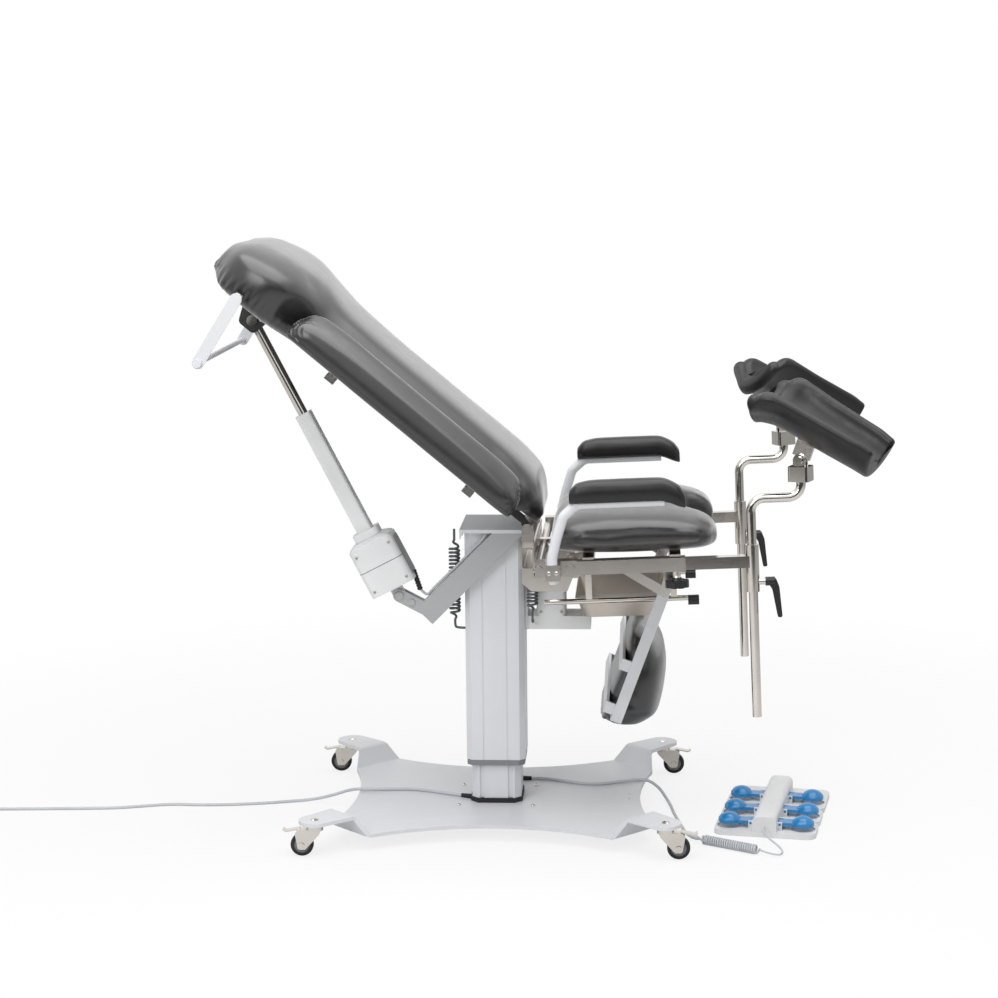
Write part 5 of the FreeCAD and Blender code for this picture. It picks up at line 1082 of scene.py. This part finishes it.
class CHAIR_OT_fasteners(bpy.types.Operator):
    """Socket screws on the base, the actuator housings and the armrest bosses."""

    bl_idname = "chair.fasteners"
    bl_label = "Fasteners"

    def execute(self, context):
        up, near = Vector((0, 0, 1)), Vector((0, -1, 0))
        base = [(at_foot(x, y, 0.039), up) for x in (-0.086, 0.083) for y in (-0.082, 0.082)]
        scatter("base_screws", "base", self.screw(), base, 0.0052, "zinc")
        place = actuator_place()
        motor = [(place @ Vector((x, -42, z)), near) for x in (-40, 40) for z in (36, 122)]
        scatter("motor_screws", "back_actuator", self.screw(), motor, 0.0034, "steel")
        lift = [(at_foot(x, -0.042, z), near) for x in (0.102, 0.148) for z in (0.480, 0.546)]
        scatter("lift_screws", "column_head", self.screw(), lift, 0.0034, "steel")
        seat = seat_place()
        boss = [(seat @ Vector((x, way * 352, 0)), Vector((0, way, 0)))
                for x in (-44, -28) for way in (-1, 1)]
        scatter("armrest_screws", "seat", self.screw(), boss, 0.0045, "zinc")
        return {"FINISHED"}

    def screw(self):
        """A domed head of radius one with a six-sided socket."""
        profile = ((0.98, -0.05, 0), (1.0, 0.3, 0), (0.92, 0.5, 0), (0.7, 0.66, 0), (0.5, 0.7, 1),
                   (0.48, 0.25, 1))
        count = 24
        rings = []
        for radius, z, hexed in profile:
            ring = []
            for k in range(count):
                angle = math.tau * k / count
                side = math.cos(math.pi / 6) / math.cos(angle % (math.pi / 3) - math.pi / 6)
                reach = radius * (side if hexed else 1)
                ring.append((reach * math.cos(angle), reach * math.sin(angle), z))
            rings.append(ring)
        return ring_piece("screw", rings, Matrix.Identity(4))


# Upholstery

class CHAIR_OT_back_cushion(bpy.types.Operator):
    """The long crowned back cushion, wide at the head and narrow between the wings."""

    bl_idname = "chair.back_cushion"
    bl_label = "Back cushion"

    def execute(self, context):
        cover = settings("upholstery")
        crown, base = 104.0, 18.5
        stations = [(-4, 140, 0.36, 0.48), (14, 176, 0.5, 0.68), (58, 191, 0.66, 0.91),
                    (140, 192, 0.72, 0.985), (420, 193, 0.72, 0.985), (590, 195, 0.78, 1.03),
                    (640, 199, 0.85, 1.10), (664, 210, 0.90, 1.15), (690, 236, 0.95, 1.19),
                    (724, 266, 0.97, 1.20), (770, 279, 0.95, 1.17), (815, 272, 0.88, 1.08),
                    (858, 242, 0.78, 0.96), (884, 186, 0.62, 0.76)]
        place = back_place()
        rings = pad_rings(scaled(stations, 1, crown, -base), base, 14.0, 12.0)
        piece = ring_piece("back_cushion_cover", [[self.hang(*p) for p in ring] for ring in rings], place)
        fill_pad(piece, place, base, cover.swell, 3, 2)
        gather = cover.gather / MM

        def surface(p, normal):
            """Gathers under the head's rim, shallow waves on the face, and painted shade in the gathers'
            valleys.
            """
            wave = 0.7 * wander(p.x / 170, p.y / 120, 3.1)
            rim = (smooth_step((p.x - 640) / 120) * smooth_step((44 - p.z) / 24)
                   * smooth_step(abs(normal.y) + abs(normal.x)))
            around = math.atan2(p.y, p.x - 700) * 42 + 3 * wander(p.x / 60, p.y / 60, 7.0)
            fold = math.sin(around * 2.1)
            # The second value is painted shade in the valleys of the gathers
            return wave + gather * rim * fold, 0.5 * rim * max(0.0, -fold)
        work_surface(piece, place, surface)
        finish_pad(piece, "cover", "backrest", "back_cushion")
        return {"FINISHED"}

    def hang(self, x, y, z):
        """Both sides and the head's end hang down round the frame, clear of the hinge."""
        clear = 176.0 - 64.0 * smooth_step((x - 70.0) / 50.0)
        skirt = max(smooth_step((abs(y) - clear) / 14.0), smooth_step((x - 790.0) / 40.0))
        drop = 32.0 * smooth_step((x + 4.0) / 24.0) * (1 - 0.6 * smooth_step((x - 845.0) / 50.0))
        return x, y, z - drop * skirt * smooth_step((78.0 - z) / 56.0)


class CHAIR_OT_back_wings(bpy.types.Operator):
    """The two side wings with gathered ends."""

    bl_idname = "chair.back_wings"
    bl_label = "Back wings"

    def execute(self, context):
        for side, way in SIDES.items():
            self.wing(side, way)
        return {"FINISHED"}

    def wing(self, side, way):
        """One wing: a long slim pad whose cover is drawn in at both ends."""
        cover = settings("upholstery")
        half, tall, base, length = 45.0, 90.0, 8.0, 611.0
        stations = [(6, 0.62, 0.44, 0.56), (14, 0.82, 0.58, 0.76), (42, 0.98, 0.71, 0.93),
                    (130, 1.0, 0.76, 1.0), (length - 130, 1.0, 0.76, 1.0), (length - 42, 0.98, 0.72, 0.94),
                    (length - 14, 0.82, 0.6, 0.78), (length - 6, 0.62, 0.45, 0.58)]
        place = back_place() @ Matrix.Translation((58.0, -way * 246.0, 0))
        rings = pad_rings(scaled(stations, half, tall), base, 7.0, 8.0, step=6.0, count=56, square=0.62)
        rings = [[(x, y, self.slope(-way * y / half, z - base) + base) for x, y, z in ring]
                 for ring in rings]
        piece = ring_piece("back_wing_" + side, rings, place)
        fill_pad(piece, place, base, 0.5 * cover.swell, 2, 2)
        gather = cover.gather / MM

        def surface(p, normal):
            """Gathers run in from both ends, and a seam runs round just above the board; painted shade darkens
            the gathers' valleys and the seam.
            """
            near_end = min(p.x, length - p.x)
            reach = 34 + 16 * wander(p.y / 9, p.z / 16, way + 5.0)
            ends = smooth_step((reach - near_end) / 30) * smooth_step((p.z - base) / 12)
            fold = math.sin((p.y * 0.62 + p.z * 0.35) * 1.15 + 1.6 * wander(p.y / 20, p.z / 20, 2.0))
            seam = math.exp(-((p.z - base - 13) / 2.2) ** 2) * (1 - abs(normal.z))
            wave = 0.4 * wander(p.x / 90, p.y / 60, way)
            # Painted shade in the valleys of the gathers and along the seam's groove
            painted_shade = min(1.0, 0.5 * ends * max(0.0, -fold) + 0.8 * seam)
            return wave + 1.5 * gather * ends * fold - 1.3 * seam, painted_shade
        work_surface(piece, place, surface)
        finish_pad(piece, "cover", "backrest", "back_wings")

    def slope(self, out, high):
        """Height above the board once the top falls away towards the outer side."""
        return high * (1 - 0.36 * smooth_step((out + 1) / 2))


class CHAIR_OT_seat_cushion(bpy.types.Operator):
    """The seat cushion with its open front between two rounded prongs."""

    bl_idname = "chair.seat_cushion"
    bl_label = "Seat cushion"

    def execute(self, context):
        cover = settings("upholstery")
        base, border, tall, wide, front = 18.0, 9.5, 75.0, 282.0, 319.0
        stations = [(-40, wide - 62, 0.5, 0.66), (-22, wide - 26, 0.66, 0.87), (30, wide - 4, 0.75, 0.985),
                    (120, wide, 0.75, 0.985), (220, wide - 2, 0.73, 0.95),
                    (front - 36, wide - 12, 0.63, 0.79), (front - 12, wide - 34, 0.5, 0.62),
                    (front - 4, wide - 66, 0.38, 0.46)]
        place = seat_place()
        rings = pad_rings(scaled(stations, 1, tall, border), base, 12.0, 7.0)
        piece = ring_piece("seat_cushion_cover", rings, place)
        self.cut_front(piece, place, front)
        fill_pad(piece, place, base, cover.swell, 20, 20)

        def surface(p, normal):
            """A soft seam line round the side, darkened by painted shade, and faint waves."""
            seam = math.exp(-((p.z - base - 52) / 2.6) ** 2) * (1 - abs(normal.z)) ** 0.5
            wave = 0.6 * wander(p.x / 120, p.y / 90, 11.0)
            # The second value is painted shade along the seam's groove
            return wave - 0.5 * seam, 0.25 * seam
        work_surface(piece, place, surface)
        finish_pad(piece, "cover", "seat", "seat_cushion")
        return {"FINISHED"}

    def cut_front(self, piece, place, front):
        """Cut the open front out of the pad with a tapered block, and even out the mesh that this leaves."""
        outline = [(166, -24), (front - 60, -100), (front + 40, -114), (front + 40, 114), (front - 60, 100),
                   (166, 24)]
        shape = bmesh.new()
        low, high = ([shape.verts.new(place @ Vector((x, y, z))) for x, y in outline] for z in (0, 160))
        shape.faces.new(low)
        shape.faces.new(high[::-1])
        count = len(outline)
        for k in range(count):
            n = (k + 1) % count
            shape.faces.new((low[k], low[n], high[n], high[k]))
        bmesh.ops.recalc_face_normals(shape, faces=shape.faces)
        mesh = mesh_from("front_cut", shape)
        block = add_object("front_cut", mesh)
        cut = piece.modifiers.new("front", "BOOLEAN")
        cut.operation = "DIFFERENCE"
        cut.object = block
        bake(piece)
        bpy.data.objects.remove(block)
        bpy.data.meshes.remove(mesh)
        remesh = piece.modifiers.new("even", "REMESH")
        remesh.mode = "VOXEL"
        remesh.voxel_size = 0.006
        bake(piece)


class CHAIR_OT_armrest_pads(bpy.types.Operator):
    """The black foam pads of the armrests, drooping in front."""

    bl_idname = "chair.armrest_pads"
    bl_label = "Armrest pads"

    def execute(self, context):
        half, tall, base = 27.0, 48.0, 146.0
        stations = [(9, 0.72, 0.44, 0.6), (20, 0.95, 0.62, 0.86), (60, 1.0, 0.7, 0.99),
                    (170, 1.0, 0.7, 0.99), (208, 1.0, 0.7, 0.99), (236, 0.97, 0.68, 0.93),
                    (245, 0.8, 0.52, 0.7)]
        rings = pad_rings(scaled(stations, half, tall), base, 5.0, 4.5, step=6.0, count=40)
        rings = [[(x, y, z - self.droop(x)) for x, y, z in ring] for ring in rings]
        for side, way in SIDES.items():
            place = seat_place() @ Matrix.Translation((0, way * 336.0, 0))
            piece = ring_piece("armrest_pad_" + side, rings, place)
            fill_pad(piece, place, base, 0.002, 1)
            work_surface(piece, place, lambda p, n: (0.25 * wander(p.x / 40, p.y / 30, 4.0), 0.0))
            finish_pad(piece, "pad_foam", "seat", "armrest_pads")
        return {"FINISHED"}

    def droop(self, x):
        """How far the pad's front end drops."""
        return 17.0 * smooth_step((x - 196.0) / 56.0)


class CHAIR_OT_footrest_pad(bpy.types.Operator):
    """The domed black pad of the footrest with folds where its cover is drawn in."""

    bl_idname = "chair.footrest_pad"
    bl_label = "Footrest pad"

    def execute(self, context):
        cover = settings("upholstery")
        half, tall, end, base = 199.0, 117.0, 202.0, -28.0
        stations = [(4, half - 46, 0.44, 0.52), (20, half - 18, 0.57, 0.70), (80, half - 2, 0.70, 0.91),
                    (150, half, 0.73, 1.0), (end - 34, half - 8, 0.70, 0.91),
                    (end - 10, half - 26, 0.58, 0.72), (end - 3, half - 46, 0.44, 0.52)]
        place = foot_place()
        rings = pad_rings(scaled(stations, 1, tall), base, 10.0, 6.0, step=6.0)
        piece = ring_piece("footrest_pad_cover", rings, place)
        fill_pad(piece, place, base, cover.swell, 2)
        gather = cover.gather / MM

        def surface(p, normal):
            """Folds run up from the lower rim and the two sides, with painted shade in their valleys."""
            rim = smooth_step((base + 80 - p.z) / 40) * (1 - abs(normal.z) ** 2)
            low = smooth_step((p.x - 96) / 60)
            fold = math.sin(0.16 * p.x + 0.2 * abs(p.y) + 2.4 * wander(p.x / 40, p.y / 40, 9.0))
            wave = 0.8 * wander(p.x / 60, p.y / 60, 6.0)
            # The second value is painted shade in the valleys of the folds
            return wave + 1.3 * gather * rim * low * fold, 0.5 * rim * low * max(0.0, -fold)
        work_surface(piece, place, surface)
        finish_pad(piece, "black_cover", "footrest", "footrest_pad")
        return {"FINISHED"}


class CHAIR_OT_leg_shells(bpy.types.Operator):
    """The thick moulded troughs for the lower legs, flared and rolled over at the knee."""

    bl_idname = "chair.leg_shells"
    bl_label = "Leg shells"

    # Place along the trough, half width, depth, wall and how far the rim sinks there
    stations = [(-112, 95, 56, 38, 30), (-102, 98, 62, 40, 17), (-86, 96, 66, 36, 7), (-66, 91, 66, 27, 2),
                (-46, 87, 66, 22, 0), (14, 81, 66, 20, 0), (112, 76, 63, 20, 0), (148, 72, 60, 19, 3)]
    # Turns in degrees of the rings that close an end
    nose = (12, 35, 60, 84)
    # Steps along the trough, across it and round a lip
    steps_along, steps_across, steps_lip = 48, 24, 6
    rim = 106.0
    # The outer wall rises by so much over a stretch across the trough
    outer_rise, outer_from, outer_over = 20.0, 15.0, 55.0

    def execute(self, context):
        for side, way in SIDES.items():
            place = trough_place(way)
            piece = ring_piece("leg_shell_foam_" + side, self.rings(), place)
            refine(piece)
            work_surface(piece, place, lambda p, n: (0.35 * wander(p.x / 50, p.y / 50, 8.0), 0.0))
            finish_pad(piece, "foam", "leg_shell_" + side, "leg_shell_" + side)
            self.lug(side, way)
        return {"FINISHED"}

    def rings(self):
        """Rings along the trough, with a bull nose at both ends and a taller outer wall."""
        columns = list(zip(*self.stations))
        start, end = columns[0][0], columns[0][-1]
        rings = [self.section(start, self.stations[0], turn, -1) for turn in self.nose[::-1]]
        for k in range(self.steps_along + 1):
            at = start + (end - start) * k / self.steps_along
            station = [at] + [monotone(columns[0], c, at) for c in columns[1:]]
            rings.append(self.section(at, station, 0, 0))
        rings += [self.section(end, self.stations[-1], turn, 1) for turn in self.nose]
        return [[(x, y, z + self.outer_rise * smooth_step((y - self.outer_from) / self.outer_over))
                 for x, y, z in ring] for ring in rings]

    def section(self, at, station, turn, way):
        """One closed ring: inside of the trough, lip, outside, lip; a turn thins it towards a rounded end."""
        _, half, depth, wall, sink = station
        thick = wall * math.cos(math.radians(turn)) / 2
        at += way * wall / 2 * math.sin(math.radians(turn))
        wide, deep = half - wall / 2, depth - wall / 2
        radius = (wide ** 2 + deep ** 2) / (2 * deep)
        sweep = math.asin(min(0.999, wide / radius))
        if deep > radius:
            sweep = math.pi - sweep
        angles = [-sweep + 2 * sweep * k / self.steps_across for k in range(self.steps_across + 1)]
        line = [(math.sin(angle), -math.cos(angle)) for angle in angles]
        middle = self.rim - sink - deep + radius
        inside = [(at, y * (radius - thick), middle + z * (radius - thick)) for y, z in line]
        outside = [(at, y * (radius + thick), middle + z * (radius + thick)) for y, z in line]
        lips = []
        for (y, z), sign in ((line[-1], 1), (line[0], -1)):
            lip = []
            for k in range(1, self.steps_lip):
                bend = math.pi * k / self.steps_lip
                out, lift = -math.cos(bend) * thick, math.sin(bend) * thick
                lip.append((at, y * radius + y * out - z * sign * lift,
                            middle + z * radius + z * out + y * sign * lift))
            lips.append(lip)
        return inside + lips[0] + outside[::-1] + lips[1][::-1]

    def lug(self, side, way):
        """The plate under the shell with the eye on the tilt pin, kept from the frame's own solid."""
        shape = bmesh.new()
        shape.from_mesh(NODES["leg_shell_" + side].data)
        bmesh.ops.remove_doubles(shape, verts=shape.verts, dist=1e-6)
        back = shell_place(way).inverted()
        reach, half, top = 30.0, 12.0, 50.0
        spots = [(v, back @ v.co) for v in shape.verts]
        spare = [v for v, p in spots if p.z > top or abs(p.y) > half or abs(p.x) > reach]
        bmesh.ops.delete(shape, geom=spare, context="VERTS")
        name = "leg_shell_lug_" + side
        lug = add_object(name, mesh_from(name, shape), "zinc")
        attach(lug, "leg_shell_" + side)


# Panel and registration

class CHAIR_PT_panel(bpy.types.Panel):
    """The chair's pieces in the sidebar."""

    bl_idname = "CHAIR_PT_panel"
    bl_label = "Examination chair"
    bl_space_type = "VIEW_3D"
    bl_region_type = "UI"
    bl_category = "Chair"

    def draw(self, context):
        for operator in OPERATORS:
            self.layout.operator(operator.bl_idname)


GROUPS = {"upholstery": ChairUpholstery, "metal": ChairMetal, "plastic": ChairPlastic, "stage": ChairStage}
OPERATORS = (
    CHAIR_OT_stage, CHAIR_OT_finishes, CHAIR_OT_cords, CHAIR_OT_actuator_trim, CHAIR_OT_fasteners,
    CHAIR_OT_back_cushion, CHAIR_OT_back_wings, CHAIR_OT_seat_cushion, CHAIR_OT_armrest_pads,
    CHAIR_OT_footrest_pad, CHAIR_OT_leg_shells,
)


def register():
    """Add the chair's settings, operators and panel."""
    for name, group in GROUPS.items():
        bpy.utils.register_class(group)
        setattr(bpy.types.Scene, "chair_" + name, PointerProperty(type=group))
    for operator in OPERATORS:
        bpy.utils.register_class(operator)
    bpy.utils.register_class(CHAIR_PT_panel)


def unregister():
    """Take them away again."""
    bpy.utils.unregister_class(CHAIR_PT_panel)
    for operator in reversed(OPERATORS):
        bpy.utils.unregister_class(operator)
    for name, group in GROUPS.items():
        delattr(bpy.types.Scene, "chair_" + name)
        bpy.utils.unregister_class(group)


def main():
    """Build every piece in order."""
    register()
    for operator in OPERATORS:
        part, call = operator.bl_idname.split(".")
        getattr(getattr(bpy.ops, part), call)()


if __name__ == "__main__":
    main()
